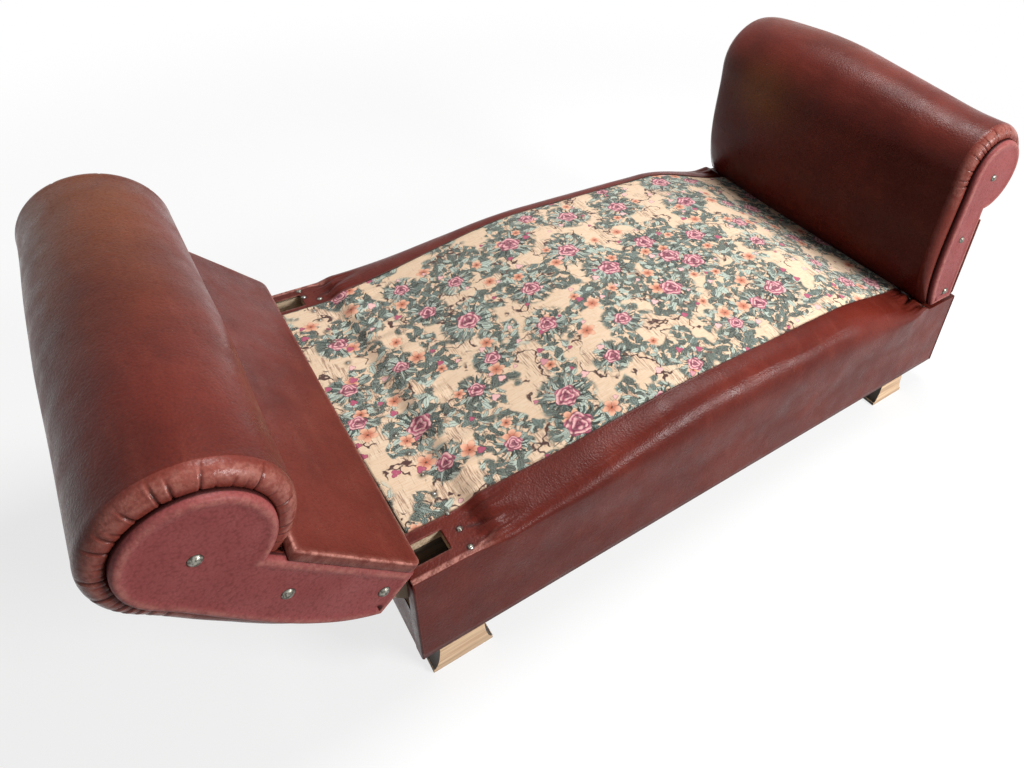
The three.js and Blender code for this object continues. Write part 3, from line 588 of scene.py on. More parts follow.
# Roll and front of an arm, gathered at both ends
def pad_section(offset, steps_arc=330, steps_front=120):
    offset = np.asarray(offset, float)[:, None]
    radius = RADIUS + offset
    start = -np.arccos((BACK - SCROLL_V) / radius)
    t = np.linspace(0, 1, steps_arc)[None, :]
    angle = start + (math.pi - start) * t
    arc_v, arc_u = SCROLL_V + radius * np.cos(angle), SCROLL_U + radius * np.sin(angle)
    foot_v = FRONT_V - 0.3 * offset
    front_v, front_u = front_curve(SCROLL_V - radius, foot_v, np.linspace(0, 1, steps_front + 1)[None, 1:])
    t = np.linspace(0, 1, 8)[None, 1:]
    base_v = foot_v + (BACK - foot_v) * t
    base_u = FOOT_U + 0 * base_v
    t = np.linspace(0, 1, 10)[None, 1:-1]
    back_v = BACK + 0 * offset + 0 * t
    back_u = FOOT_U + (arc_u[:, :1] - FOOT_U) * t
    return (np.concatenate([arc_v, front_v, base_v, back_v], 1),
            np.concatenate([arc_u, front_u, base_u, back_u], 1), steps_arc, steps_front)


def pleats(seed, reach_end, side):
    """Places, depths, lengths and slants of the gathers, along the outline from the notch."""
    rng = np.random.default_rng(seed)
    closest, widest = (13, 34) if side == "left" else (17, 40)
    found = []
    s = 16.0
    while s < reach_end:
        deep = rng.random() < 0.5
        depth = rng.uniform(2.8, 4.2) if deep else rng.uniform(1.0, 2.2)
        reach = rng.uniform(32, 48) if deep else rng.uniform(18, 30)
        found.append((s, depth, reach, rng.uniform(-0.16, 0.16)))
        s += rng.uniform(closest, widest) if s < 0.6 * reach_end else rng.uniform(9, 18)
    return found


RIM_SPAN = 24.0
RIM_ROOT = 3.0
RIM_RISE_DEGREES = [0, 10, 20, 30, 40, 50, 58, 66, 74, 82, 90]
PAD_STATIONS = [39, 42, 45, 48.5, 52, 57, 62, 68, 75, 84, 95, 110, 130, 155, 185, 215, 250, 290, 335]
GATHERED_PAST_ARC = {"left": 60.0, "right": 8.0}
WARM_LIGHT_SHARES = {"left": 0.42, "right": 0.15}
BLOT_Y = 560.0


def pad_profile(side):
    """Near half of the stations across the couch, then all of them, each with how far the pad stands out."""
    turn = np.radians(RIM_RISE_DEGREES)
    rim_y = GROOVE + RIM_SPAN * (1 - np.cos(turn))
    rim_off = RIM_ROOT + (RIM - RIM_ROOT) * np.sin(turn)
    near_y = np.concatenate([[22, 17, GROOVE + 1], rim_y, PAD_STATIONS])
    near_off = np.concatenate([[-1.5, -0.8, 1.0], rim_off, np.full(len(PAD_STATIONS), RIM)])
    y = np.concatenate([near_y, [WIDTH / 2], WIDTH - near_y[::-1]])
    off = np.concatenate([near_off, [RIM], near_off[::-1]])
    share = np.clip((y - GROOVE) / (WIDTH - 2 * GROOVE), 0, 1)
    places, heights = FULLNESS_SHARES[side]
    fine = np.linspace(0, 1, 200)
    window = np.hanning(25)
    rise = np.convolve(np.pad(np.interp(fine, places, heights), 12, "edge"), window / window.sum(), "valid")
    ends = smooth(0, 0.04, np.minimum(share, 1 - share))
    off = off + FULLNESS[side] * np.interp(share, fine, rise) * ends
    return near_y, near_off, y, off


def gathers(side, seed, s, p, near, arc_end):
    """How far the gathers lift the skin at s along the outline and p along the profile, and their creases."""
    lift = np.zeros((len(p), len(s)))
    crease = np.zeros(lift.shape)
    reach_end = arc_end + GATHERED_PAST_ARC[side]
    for end, mask in ((0, near), (1, ~near)):
        for place, depth, reach, slant in pleats(seed + end, reach_end, side):
            gap = s[None, :] - place - slant * p
            window = smooth(3, 9, p) * (1 - smooth(0.45 * reach, reach, p))
            narrow = np.exp(-(gap / 1.5) ** 2)
            wide = np.exp(-(gap / 6.0) ** 2)
            fold = np.exp(-((gap - 3.4) / 2.0) ** 2)
            lift -= mask * window * depth * (0.62 * narrow + 0.16 * wide - 0.2 * fold)
            crease = np.maximum(crease, mask * window * narrow * min(1, depth / 3.4))
        gathered = smooth(0, 30, s[None, :]) * (1 - smooth(reach_end, reach_end + 60, s[None, :]))
        lift += mask * 1.4 * smooth(6, 22, p) * (1 - smooth(26, 60, p)) * gathered
    return lift, crease


def warm_light_and_blot(side, s, y, arc_end):
    """Where the skin is painted a warm brown: a painted warm light along the scroll's top, and a warm brown
    blot on the right arm.
    """
    rising = smooth(0.25 * arc_end, 0.45 * arc_end, s)[None, :]
    falling = 1 - smooth(0.62 * arc_end, 0.8 * arc_end, s)[None, :]
    far_share = smooth(150, 700, y)[:, None]
    warm = rising * falling * far_share * WARM_LIGHT_SHARES[side]
    if side == "right":
        blot = np.exp(-((s[None, :] - arc_end - 10) / 60) ** 2 - ((y[:, None] - BLOT_Y) / 90) ** 2)
        warm = np.maximum(warm, 0.9 * blot)
    return warm


def add_arm_pad(side, seed):
    near_y, near_off, y, off = pad_profile(side)
    v, u, steps_arc, steps_front = pad_section(off)
    points = arm_points(side, v, y[:, None], u)

    # Lengths along the outline from the notch, and along the profile from the groove
    mid = len(y) // 2
    s = np.concatenate([[0], np.cumsum(np.hypot(np.diff(v[mid]), np.diff(u[mid])))])
    profile = np.concatenate([[0], np.cumsum(np.hypot(np.diff(near_y), np.diff(near_off)))])
    p = np.concatenate([profile, [profile[-1] + 40], profile[::-1]])[:, None]
    near = (np.arange(len(y)) <= mid)[:, None]
    arc_end = s[steps_arc - 1]

    lift, crease = gathers(side, seed, s, p, near, arc_end)
    lift += 1.6 * ripple(s[None, :] + 0 * p, y[:, None] + 0 * s[None, :], seed) * smooth(30, 90, p)
    # Darker groove beside the end panel, painted shade between the parts; the gathers' creases are darker
    # with dirt and painted shade
    groove = 1 - smooth(3, 11, p)
    crease = np.maximum(crease, groove * 0.9 + 0 * s[None, :])
    covered = (np.arange(points.shape[1]) >= steps_arc + steps_front)[None, :]
    lift = np.where(covered, 0, lift)
    normal = grid_normals(points, True)
    away = points - points.mean(1, keepdims=True)
    if (normal * away).sum() < 0:
        normal = -normal
    points = points + normal * lift[..., None]
    # A paler band across the rim, more on the gathers' crests: scuffing and a painted highlight
    wear_and_highlight = smooth(12, 22, p) * (1 - smooth(30, 44, p)) * (0.1 + 0.3 * (lift > 1.0)) + 0 * s[None, :]
    attributes = {
        "crease": crease,
        "wear_and_highlight": wear_and_highlight * (s[None, :] < arc_end + 60),
        "warm": warm_light_and_blot(side, s, y, arc_end),
    }
    rows, cols = points.shape[:2]
    mesh = build(points, capped_faces(rows, cols))
    piece = finished(f"{side}_arm_roll", mesh, [OXBLOOD, RIM_SKIN_LIT], f"{side}_arm",
                     [f"{side}_arm_pad"], attributes)
    ring_rows = (rows - 1) * cols
    row_of = np.minimum(np.arange(len(mesh.polygons)) // cols, rows - 2)
    is_rim = (p[:, 0][row_of] < 44) & (np.arange(len(mesh.polygons)) < ring_rows)
    mesh.polygons.foreach_set("material_index", is_rim.astype(np.int32))
    return piece


def mitred(outline, inset):
    """A closed outline moved inwards by an inset."""
    nxt, prv = np.roll(outline, -1, 0), np.roll(outline, 1, 0)

    def edge_normal(a, b):
        d = b - a
        d = d / np.linalg.norm(d, axis=1, keepdims=True)
        return np.stack([d[:, 1], -d[:, 0]], 1)

    one, two = edge_normal(prv, outline), edge_normal(outline, nxt)
    area = 0.5 * np.sum(outline[:, 0] * nxt[:, 1] - nxt[:, 0] * outline[:, 1])
    sign = 1 if area > 0 else -1
    move = (one + two) / (1 + (one * two).sum(1, keepdims=True))
    return outline - sign * inset * move


def fascia_outline():
    start = -math.acos((BACK - SCROLL_V) / RADIUS)
    angle = np.linspace(start, math.pi, 96)
    arc = np.stack([SCROLL_V + RADIUS * np.cos(angle), SCROLL_U + RADIUS * np.sin(angle)], 1)
    front = np.stack(front_curve(SCROLL_V - RADIUS, FRONT_V, np.linspace(0, 1, 49)[1:]), 1)
    base = np.stack([np.linspace(FRONT_V + 20, BACK - 20, 4), np.full(4, FOOT_U)], 1)
    back = np.stack([np.full(12, BACK), np.linspace(FOOT_U + 20, arc[0, 1] - 20, 12)], 1)
    return np.concatenate([arc, front, base, [[BACK, FOOT_U]], back])


# Edge of a fascia: how far outside the outline, how deep, and how much paler it is painted, for scuffing and
# a painted highlight along the lip
FASCIA_EDGE = [
    (-22, 1.5, 0), (-17, 1.4, 0), (-14, 1.0, 0), (-11.5, 0.35, 0.1), (-9, -0.1, 0.35), (-6.5, 0.0, 0.45),
    (-4.2, 0.7, 0.3), (-2.4, 2.0, 0.15), (-1.0, 4.2, 0.05), (-0.2, 7.0, 0), (0, 10.0, 0), (0, 24.0, 0),
]


def add_fascia(side, place, seed):
    outline = fascia_outline()
    rows, wear_and_highlight = [], []
    for inset, depth, wear_and_highlight_share in FASCIA_EDGE:
        ring = mitred(outline, -inset)
        y = np.full(len(ring), depth) + 0.25 * ripple(ring[:, 0] * 6, ring[:, 1] * 6, seed)
        y = y if place == "near" else WIDTH - y
        rows.append(arm_points(side, ring[:, 0], y, ring[:, 1]))
        wear_and_highlight.append(np.full(len(ring), wear_and_highlight_share))
    points = np.array(rows)
    crease = np.zeros(points.shape[:2])
    # The fascia's side into the groove is darkened: painted shade between the end panel and the pad
    crease[-2:] = 0.9
    mesh = build(points, capped_faces(*points.shape[:2]))
    return finished(f"{side}_arm_end_panel_{place}", mesh, [FASCIA_SKIN_LIT], f"{side}_arm",
                    [f"{side}_arm_fascia_{place}"], {"wear_and_highlight": np.array(wear_and_highlight), "crease": crease})


PANEL_CORNER = 14.0


def back_panel_outline():
    c = PANEL_CORNER
    corner = np.linspace(0, math.pi / 2, 7)
    low_near = np.stack([c - c * np.cos(corner), FOOT_U + c - c * np.sin(corner)], 1)
    low_far = np.stack([WIDTH - c + c * np.sin(corner), FOOT_U + c - c * np.cos(corner)], 1)
    base = np.stack([np.linspace(c + 20, WIDTH - c - 20, 30), np.full(30, FOOT_U)], 1)
    heights = np.linspace(FOOT_U + c + 12, PANEL_TOP - 12, 8)
    far = np.stack([np.full(8, WIDTH), heights], 1)
    near = np.stack([np.zeros(8), np.linspace(PANEL_TOP - 12, FOOT_U + c + 12, 8)], 1)
    return np.concatenate([low_near, base, low_far, far, [[WIDTH, PANEL_TOP]], [[0, PANEL_TOP]], near])


def add_back_panel(side, seed):
    outline = back_panel_outline()
    thick = PANEL_THICKNESSES[side]
    # Each ring: inset, depth, and how much paler it is painted, for scuffing and a painted highlight on the
    # edge
    profile = [(0.5, 0.3, 0.1), (0, 1.4, 0.2), (0, thick - 3.5, 0.25), (0.5, thick - 1.8, 0.75),
               (1.7, thick - 0.6, 0.8), (3.4, thick - 0.1, 0.25), (7, thick, 0.05), (11, thick, 0)]
    rows, wear_and_highlight = [], []
    for inset, depth, wear_and_highlight_share in profile:
        ring = mitred(outline, inset)
        uneven = 0.6 * ripple(ring[:, 0] * 3, ring[:, 1] * 3, seed)
        rows.append(arm_points(side, BACK + 0.3 + depth + uneven * (depth > 2), ring[:, 0], ring[:, 1]))
        wear_and_highlight.append(np.full(len(ring), wear_and_highlight_share))
    points = np.array(rows)
    mesh = build(points, capped_faces(*points.shape[:2]))
    return finished(f"{side}_arm_flat_panel", mesh, [OXBLOOD], f"{side}_arm",
                    [f"{side}_arm_back_panel"], {"wear_and_highlight": np.array(wear_and_highlight)})


# Domed heads turned about an axis
DOME_SHARES = [(0, 1.0), (0.22, 0.98), (0.45, 0.88), (0.66, 0.68),
               (0.82, 0.42), (0.94, 0.16), (1.0, 0.0), (1.0, -0.22)]
# Past this share of the radius a head darkens towards its rim: dirt and painted shade where it meets the
# surface
DIRT_AND_SHADE_FROM_SHARE = 0.86


def dome(radius, height, ring=40):
    angle = np.linspace(0, 2 * math.pi, ring, endpoint=False)
    points = [np.array([[0.0, 0.0, height]])]
    crease = [[0.0]]
    for share, up in DOME_SHARES[1:]:
        out = radius * share
        points.append(np.stack([out * np.cos(angle), out * np.sin(angle), np.full(ring, up * height)], 1))
        crease.append(np.full(ring, max(0.0, (share - DIRT_AND_SHADE_FROM_SHARE) / (1 - DIRT_AND_SHADE_FROM_SHARE))))
    faces = [(0, 1 + i, 1 + (i + 1) % ring) for i in range(ring)]
    faces += [tuple(f) for f in grid_faces(len(DOME_SHARES) - 1, ring, True, 1)]
    faces.append(tuple(1 + (len(DOME_SHARES) - 2) * ring + i for i in range(ring)))
    return np.concatenate(points), faces, np.concatenate(crease)


def add_domes(name, places, radius, height, axis, body, replaces=(), skew=0.0):
    """Heads at places in millimetres, each with its crown along its own axis."""
    all_points, all_faces, all_crease = [], [], []
    shape, faces, crease = dome(radius, height)
    for index, place in enumerate(places):
        lean = Vector((skew * math.sin(index * 2.1), skew * math.cos(index * 1.3), 0))
        direction = Vector(axis).normalized() + lean
        turn = np.array(Vector((0, 0, 1)).rotation_difference(direction).to_matrix())
        start = sum(len(p) for p in all_points)
        all_points.append(shape @ turn.T + np.asarray(place))
        all_faces += [tuple(int(i) + start for i in f) for f in faces]
        all_crease.append(crease)
    mesh = build(np.concatenate(all_points), all_faces)
    return finished(name, mesh, [ANTIQUE], body, replaces, {"crease": np.concatenate(all_crease)})


# Seat heights, in millimetres above the floor. The left swell starts past the upright arm's flat panel
LEFT_SWELL = (110.0, 148.0)
RIGHT_SWELL = (94.0, 126.0)


def arch(x):
    """How far the seat has risen along its length, from flat at the ends."""
    x = np.asarray(x, float)
    return smooth(FLAT_END, FLAT_END + LEFT_RUN, x) * smooth(FLAT_END, FLAT_END + RIGHT_RUN, LENGTH - x)


def rolled(x):
    """How far the edge has turned from a flat board's corner into a stuffed roll."""
    x = np.asarray(x, float)
    return smooth(90, 158, x) * smooth(100, 168, LENGTH - x)


def border(x, place):
    """Distance of the seam from the edge of the base."""
    end, middle = BORDERS[place]
    return end + (middle - end) * arch(x) ** 0.7


def seat_height(x, y):
    low, high = border(x, "near"), WIDTH - border(x, "far")
    across = np.abs(2 * (y - low) / (high - low) - 1)
    bow = 1 - np.minimum(1, across) ** CROWN_FULLNESS
    from_right = LENGTH - np.asarray(x, float)
    swell = ROLL_SWELL * smooth(*LEFT_SWELL, x) * smooth(*RIGHT_SWELL, from_right) * (1 - arch(x))
    return BASE_TOP + swell + arch(x) * (ROLL_RISE + (CROWN_RISE - ROLL_RISE) * bow)


NAIL_RADIUS = 5.4
NAIL_HEIGHT = 3.0
TACK_RADIUS = 4.6
TACK_HEIGHT = 2.4
RIGHT_NAIL_SHIFT = 12.0
CORNER_NAILS = [(94.0, 50.0), (94.0, 13.0)]
FAR_NAILS = [(73.0, 12.0), (75.0, 37.0), (100.0, 58.0)]
TACKS = [(91, 85), (90, 129), (89, 172), (88, 224), (86, 273), (84.5, 345), (83, 411), (81.5, 486),
         (80, 557), (79, 594), (79, 634), (78, 667)]


def dimpled(x, y, places, depth, spread):
    total = np.zeros(np.broadcast(x, y).shape)
    for px, py in places:
        total += depth * np.exp(-((x - px) ** 2 + (y - py) ** 2) / spread ** 2)
    return total


def thickened(piece, thickness, offset):
    thick = piece.modifiers.new("thick", "SOLIDIFY")
    thick.thickness = thickness * MM
    thick.offset = offset


def mean_length(points, axis):
    """Mean length of a grid's lines along one of its axes, in metres."""
    return float(np.linalg.norm(np.diff(points, axis=axis), axis=2).sum(axis).mean() * MM)


def add_tapestry():
    xs = np.concatenate([
        np.linspace(0, 1, 50) * 0.16,
        np.linspace(0.16, 0.84, 150)[1:],
        np.linspace(0.84, 1, 40)[1:],
    ])
    ys = np.linspace(0, 1, 170)[None, :]
    left = TAPESTRY_END + 4 - 10 * ys
    x = left + xs[:, None] * (LENGTH - TAPESTRY_END - left)
    low, high = border(x, "near") - 1.0, WIDTH - border(x, "far") + 1.0
    y = low + ys * (high - low)
    z = seat_height(x, y)
    rise = arch(x)
    z = z + rise * 1.6 * ripple(x, y, 5)
    inside = np.minimum(y - low, high - y)
    z = z - 1.5 * rolled(x) * (1 - smooth(0, 8, inside))
    z = z + 1.4 * rise * smooth(2, 22, inside) * (1 - smooth(22, 60, inside))
    right_tacks = [(LENGTH - px, py) for px, py in TACKS]
    z = z - dimpled(x, y, TACKS + right_tacks, 1.2, 7.0)
    for px, py in TACKS:
        spread = 4.0 + 0.05 * np.maximum(0, x - px)
        line = np.exp(-((y - py) / spread) ** 2)
        z = z - 3.0 * line * smooth(px, px + 12, x) * (1 - smooth(px + 16, px + 105, x))
    puff = smooth(108, 140, x) * (1 - smooth(150, 230, x))
    z = z + 2.2 * puff * np.sin(y * 0.145 + 1.2 * np.sin(y * 0.021)) * smooth(4, 30, inside)
    z = np.maximum(z, BASE_TOP + 0.2)
    points = np.stack([x, y, z], -1)
    # Where the tapestry is painted darker: painted shade along the seam and in the tack dimples
    crease = np.maximum(1 - smooth(0.5, 4.0, inside), np.clip(dimpled(x, y, TACKS, 1.2, 6.5), 0, 1))
    mesh = build(points, grid_faces(*points.shape[:2]), outward=False)
    piece = finished("seat_tapestry_cover", mesh, [TAPESTRY], "base",
                     ["seat_tapestry"], {"crease": crease})
    thickened(piece, 1.2, -1)
    return piece, (mean_length(points, 1), mean_length(points, 0))


SHARP_POWER = 30.0
ROLL_POWER = 2.35
SIDE_BULGE = 6.0
ARC_ROWS = 18


def roll_section(x, place):
    """Lines of an edge's cover at stations along its length: side, shoulder, then the top to the seam."""
    q = rolled(x)[:, None]
    edge = border(x, place)
    seam_y = edge[:, None]
    seam_z = seat_height(x, edge if place == "near" else WIDTH - edge)[:, None]
    foot_z = BASE_TOP - CORNER_ROUND
    bulge = SIDE_BULGE * q
    high = seam_z - foot_z + 2.0 * q
    power = 1 / (1 / SHARP_POWER + (1 / ROLL_POWER - 1 / SHARP_POWER) * q)

    def height(y):
        share = np.clip((seam_y - y) / (seam_y + bulge), 0, 1)
        return foot_z + high * (1 - share ** power) ** (1 / power)

    t = np.linspace(0, 1, ARC_ROWS)[None, :-1]
    side_z = BASE_FLOOR + t * (foot_z - BASE_FLOOR) + 0 * q
    side_y = 0 * side_z - bulge * smooth(0.45, 1.0, t)
    angle = np.linspace(0, math.pi / 2, ARC_ROWS)[None, :]
    start_y = CORNER_ROUND + 12.0 * q
    arc_y = start_y - (start_y + bulge) * np.cos(angle)
    top_width = BORDERS[place][0] - CORNER_ROUND
    near_share = (SLOT_NEAR - CORNER_ROUND) / top_width
    far_share = (SLOT_FAR - CORNER_ROUND) / top_width
    f = np.concatenate([
        np.linspace(0, near_share, 8)[1:],
        np.linspace(near_share, far_share, 13)[1:],
        np.linspace(far_share, 1, 8)[1:],
    ])[None, :]
    top_y = start_y + f * (seam_y - start_y)
    y = np.concatenate([side_y, arc_y, top_y], 1)
    z = np.concatenate([side_z, height(arc_y), height(top_y)], 1)
    return y, z, q, f.shape[1]


CLOSE_RUN = 300.0
PULL_LINES = ((50.0, -0.28, 6.5), (13.0, 0.10, 4.0), (66.0, 0.05, 3.0))
PULL_START = 94.0
DEEPEST_PULL = 6.5
HEM_WIDTH = 0.02
HEM_LENGTH = 0.03


def cover_stations():
    """Places along the couch, closest at the ends, where the cover folds."""
    left, right = SLOT_END["left"], LENGTH - SLOT_END["right"]
    return np.concatenate([
        [0, 1.5, 5, 10],
        np.linspace(10, left, 16)[1:],
        np.linspace(left, CLOSE_RUN, 100)[1:],
        np.linspace(CLOSE_RUN, LENGTH - CLOSE_RUN, 80)[1:],
        np.linspace(LENGTH - CLOSE_RUN, right, 90)[1:],
        np.linspace(right, LENGTH - 5, 22)[1:],
        [LENGTH - 1.5, LENGTH],
    ])


def corner_folds(station, y, z, near_top, on_top, nails):
    """Dimples at the corner nails and the pull lines that run from them into the roll, with painted shade in
    them.
    """
    z = z - near_top * dimpled(station, y, nails, 2.2, 9.0)
    crease = np.clip(on_top * dimpled(station, y, nails, 1.1, 6.5), 0, 1)
    for from_end in (station, LENGTH - 8 - station):
        past = from_end - PULL_START
        for nail_y, slope, depth in PULL_LINES:
            gap = y - nail_y - slope * past
            valley = np.exp(-(gap / (4.5 + 0.07 * np.maximum(0, past))) ** 2)
            reach = smooth(90, 112, from_end) * (1 - smooth(120, 205, from_end))
            z = z - near_top * depth * valley * reach
            # Painted shade in the pull lines, near the nails
            dark = 0.75 * near_top * (depth / DEEPEST_PULL) * valley ** 2 * reach
            crease = np.maximum(crease, dark * (1 - smooth(110, 160, from_end)))
        ribs = np.sin(y * 0.62 + 1.5 * np.sin(from_end * 0.05))
        ribs = ribs * smooth(96, 118, from_end) * (1 - smooth(130, 190, from_end))
        z = z + near_top * 0.7 * ribs
    return z, crease


def end_strips(count):
    """The cover's turn round both ends of the base, as strips with a rounded corner."""
    corner = np.linspace(0, math.pi / 2, 6)
    rounded = np.stack([3 - 3 * np.cos(corner), 3 - 3 * np.sin(corner)], 1)
    line = np.concatenate([[[0.0, 24.0], [0.0, 14.0]], rounded])
    levels = np.linspace(BASE_FLOOR, BASE_TOP - CORNER_ROUND, 12)
    strips, faces = [], []
    for end in (0, 1):
        strip = np.stack(np.broadcast_arrays(line[None, :, 0], line[None, :, 1], levels[:, None]), -1)
        strip[..., 0] = np.where(end, LENGTH - strip[..., 0], strip[..., 0])
        strips.append(strip.reshape(-1, 3))
        made = grid_faces(len(levels), len(line), start=count)
        faces.append(made[:, ::-1] if end else made)
        count += len(strips[-1])
    return strips, faces


def add_edge_cover(place, seed):
    nails = CORNER_NAILS if place == "near" else FAR_NAILS
    right_nails = [(LENGTH - px - RIGHT_NAIL_SHIFT, py) for px, py in nails]
    x = cover_stations()
    y, z, q, top_rows = roll_section(x, place)
    station = np.broadcast_to(x[:, None], y.shape)
    on_top = np.zeros(y.shape)
    on_top[:, -top_rows:] = 1
    near_top = on_top.copy()
    near_top[:, -top_rows - ARC_ROWS:-top_rows] = np.linspace(0, 1, ARC_ROWS)[None, :]

    z, crease = corner_folds(station, y, z, near_top, on_top, nails + right_nails)
    low_fade = smooth(BASE_FLOOR + 20, BASE_FLOOR + 90, z)
    y = y - (1 - on_top) * q * 1.5 * ripple(station * 1.4, z * 2.0, seed) * low_fade
    z = z + on_top * q * 0.9 * ripple(station * 1.6, y * 3, seed + 1)
    z[:, -top_rows:] = np.maximum(z[:, -top_rows:], BASE_TOP + 0.1)
    z[:, -1] += 0.9
    points = np.stack([station, y, z], -1)
    rows, cols = points.shape[:2]
    faces = grid_faces(rows, cols)
    middle = points.reshape(-1, 3)[faces].mean(1)
    beside_arm = (middle[:, 0] < SLOT_END["left"]) | (middle[:, 0] > LENGTH - SLOT_END["right"])
    in_slot = (middle[:, 1] > SLOT_NEAR) & (middle[:, 1] < SLOT_FAR) & (middle[:, 2] > BASE_TOP - 3)
    faces = faces[~(in_slot & beside_arm)]

    # Paler marks, for scuffing and a painted highlight: the shoulder at the left end, the seam's hem and the
    # slot edges at the left end
    wear_and_highlight = np.zeros((rows, cols))
    arc = slice(cols - top_rows - ARC_ROWS, cols - top_rows + 1)
    shoulder = smooth(0, 0.5, np.linspace(0, 1, ARC_ROWS + 1))[None, :]
    wear_and_highlight[:, arc] = 0.8 * (1 - smooth(95, 150, station[:, arc])) * shoulder
    wear_and_highlight[:, -1] = 0.5
    slot_edge = np.exp(-((y - SLOT_NEAR) / 2.0) ** 2) + np.exp(-((y - SLOT_FAR) / 2.0) ** 2)
    wear_and_highlight = np.maximum(wear_and_highlight, 0.4 * on_top * slot_edge * (station < SLOT_END["left"] + 2))
    # Painted shade along the seam
    crease[:, -2:] = np.maximum(crease[:, -2:], 0.5 * q)

    strips, strip_faces = end_strips(rows * cols)
    flat = np.concatenate([points.reshape(-1, 3), *strips])
    if place == "far":
        flat = flat * [1, -1, 1] + [0, WIDTH, 0]
    faces = np.concatenate([faces, *strip_faces])
    kept, faces_kept = np.unique(faces, return_inverse=True)
    extra = np.zeros(len(flat) - rows * cols)
    mesh = build(flat[kept], faces_kept.reshape(-1, 4), outward=False)
    attributes = {
        key: np.concatenate([values.ravel(), extra])[kept]
        for key, values in (("wear_and_highlight", wear_and_highlight), ("crease", crease))
    }
    piece = finished(f"edge_{place}_cover", mesh, [OXBLOOD], "base",
                     [f"edge_cover_{place}"], attributes)
    thickened(piece, 1.1, 1 if place == "near" else -1)
    area = points_area(flat, faces) * MM * MM
    return piece, (mean_length(points, 1) + HEM_WIDTH, float(LENGTH * MM + HEM_LENGTH)), area


def points_area(points, faces):
    a, b, c, d = (points[faces[:, i]] for i in range(4))
    return 0.5 * np.linalg.norm(np.cross(c - a, d - b), axis=1).sum()


# Stuffing under the covers
FILLING_FLOOR = 251.0
FILLING_LEAST = 252.0


def add_stuffing():
    xs = np.linspace(FLAT_END + 30, LENGTH - FLAT_END - 30, 90)
    ys = np.linspace(0, 1, 50)[None, :]
    low, high = border(xs, "near")[:, None] + 1, WIDTH - border(xs, "far")[:, None] - 1
    y = low + ys * (high - low)
    x = xs[:, None] + 0 * y
    top = np.maximum(seat_height(x, y) - 8.0, FILLING_LEAST)
    piece = closed_slab("seat_filling", np.stack([x, y, top], -1), ["seat_stuffing"])
    for place in ("near", "far"):
        line_y, line_z, _, _ = roll_section(xs, place)
        line_y = np.clip(line_y[:, ARC_ROWS:] + 5.0, 3.0, border(xs, place)[:, None] - 1)
        line_z = np.maximum(line_z[:, ARC_ROWS:] - 9.0, FILLING_LEAST)
        points = np.stack([np.broadcast_to(xs[:, None], line_y.shape), line_y, line_z], -1)
        if place == "far":
            points = points * [1, -1, 1] + [0, WIDTH, 0]
        piece = closed_slab(f"edge_{place}_filling", points, [f"edge_roll_{place}"])


def closed_slab(name, top, replaces):
    rows, cols = top.shape[:2]
    under = top.copy()
    under[..., 2] = FILLING_FLOOR
    ring = np.concatenate([top, under[:, ::-1]], 1)
    return finished(name, build(ring, capped_faces(rows, 2 * cols)), [STUFFING], "base", replaces)


# Feet: coved at both ends, pale on the long faces and dark on the end grain, a dark stain with painted shade
FOOT_LIP = 8.0
FOOT_COVE = 13.0
FOOT_BEVEL = 1.4


def add_foot(node):
    low, high = (np.array(corner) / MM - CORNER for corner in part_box(node))
    length, _, height = high - low
    turn = np.linspace(0, math.pi / 2, 15)[1:]
    cove = np.stack([
        length - FOOT_COVE * np.sin(turn),
        FOOT_LIP + (height - FOOT_LIP) * (1 - np.cos(turn)),
    ], 1)
    right = np.concatenate([[[length, 0.0], [length, FOOT_LIP]], cove])
    outline = np.concatenate([right, right[::-1] * [-1, 1] + [length, 0]])
    ring = len(outline)
    points = [np.stack([outline[:, 0] + low[0], np.full(ring, y), outline[:, 1] + low[2]], 1)
              for y in (low[1], high[1])]
    mesh = build(np.array(points), capped_faces(2, ring), flat=True)
    piece = finished(f"{node}_block", mesh, [OAK_FACE, OAK_END], "base", [node])
    marks = [1 if abs(p.normal.x) > 0.4 and abs(p.normal.y) < 0.5 else 0 for p in mesh.polygons]
    mesh.polygons.foreach_set("material_index", marks)
    bevel = piece.modifiers.new("edges", "BEVEL")
    bevel.width = FOOT_BEVEL * MM
    bevel.segments = 3
    bevel.limit_method = "ANGLE"
    return piece


# Pieces of the couch
for side, seed in (("left", 3), ("right", 27)):
    add_arm_pad(side, seed)
    add_back_panel(side, seed + 5)
    for place, out in (("near", -1), ("far", 1)):
        add_fascia(side, place, seed + 9)
        y = BOLT_SEAT if place == "near" else WIDTH - BOLT_SEAT
        for index, (v, u) in enumerate(BOLTS):
            add_domes(f"{side}_arm_dome_{place}_{index + 1}", [arm_points(side, v, y, u)],
                      BOLT_RADIUS, BOLT_HEIGHT, (0, out, 0), f"{side}_arm",
                      [f"{side}_arm_bolt_{place}_{index + 1}"])

tapestry, tapestry_flat = add_tapestry()
for place in ("near", "far"):
    cover, flat_size, area = add_edge_cover(place, 41 if place == "near" else 43)
    min(area, 0.999 * flat_size[0] * flat_size[1])
add_stuffing()
for node in ("foot_left_near", "foot_right_near", "foot_left_far", "foot_right_far"):
    add_foot(node)

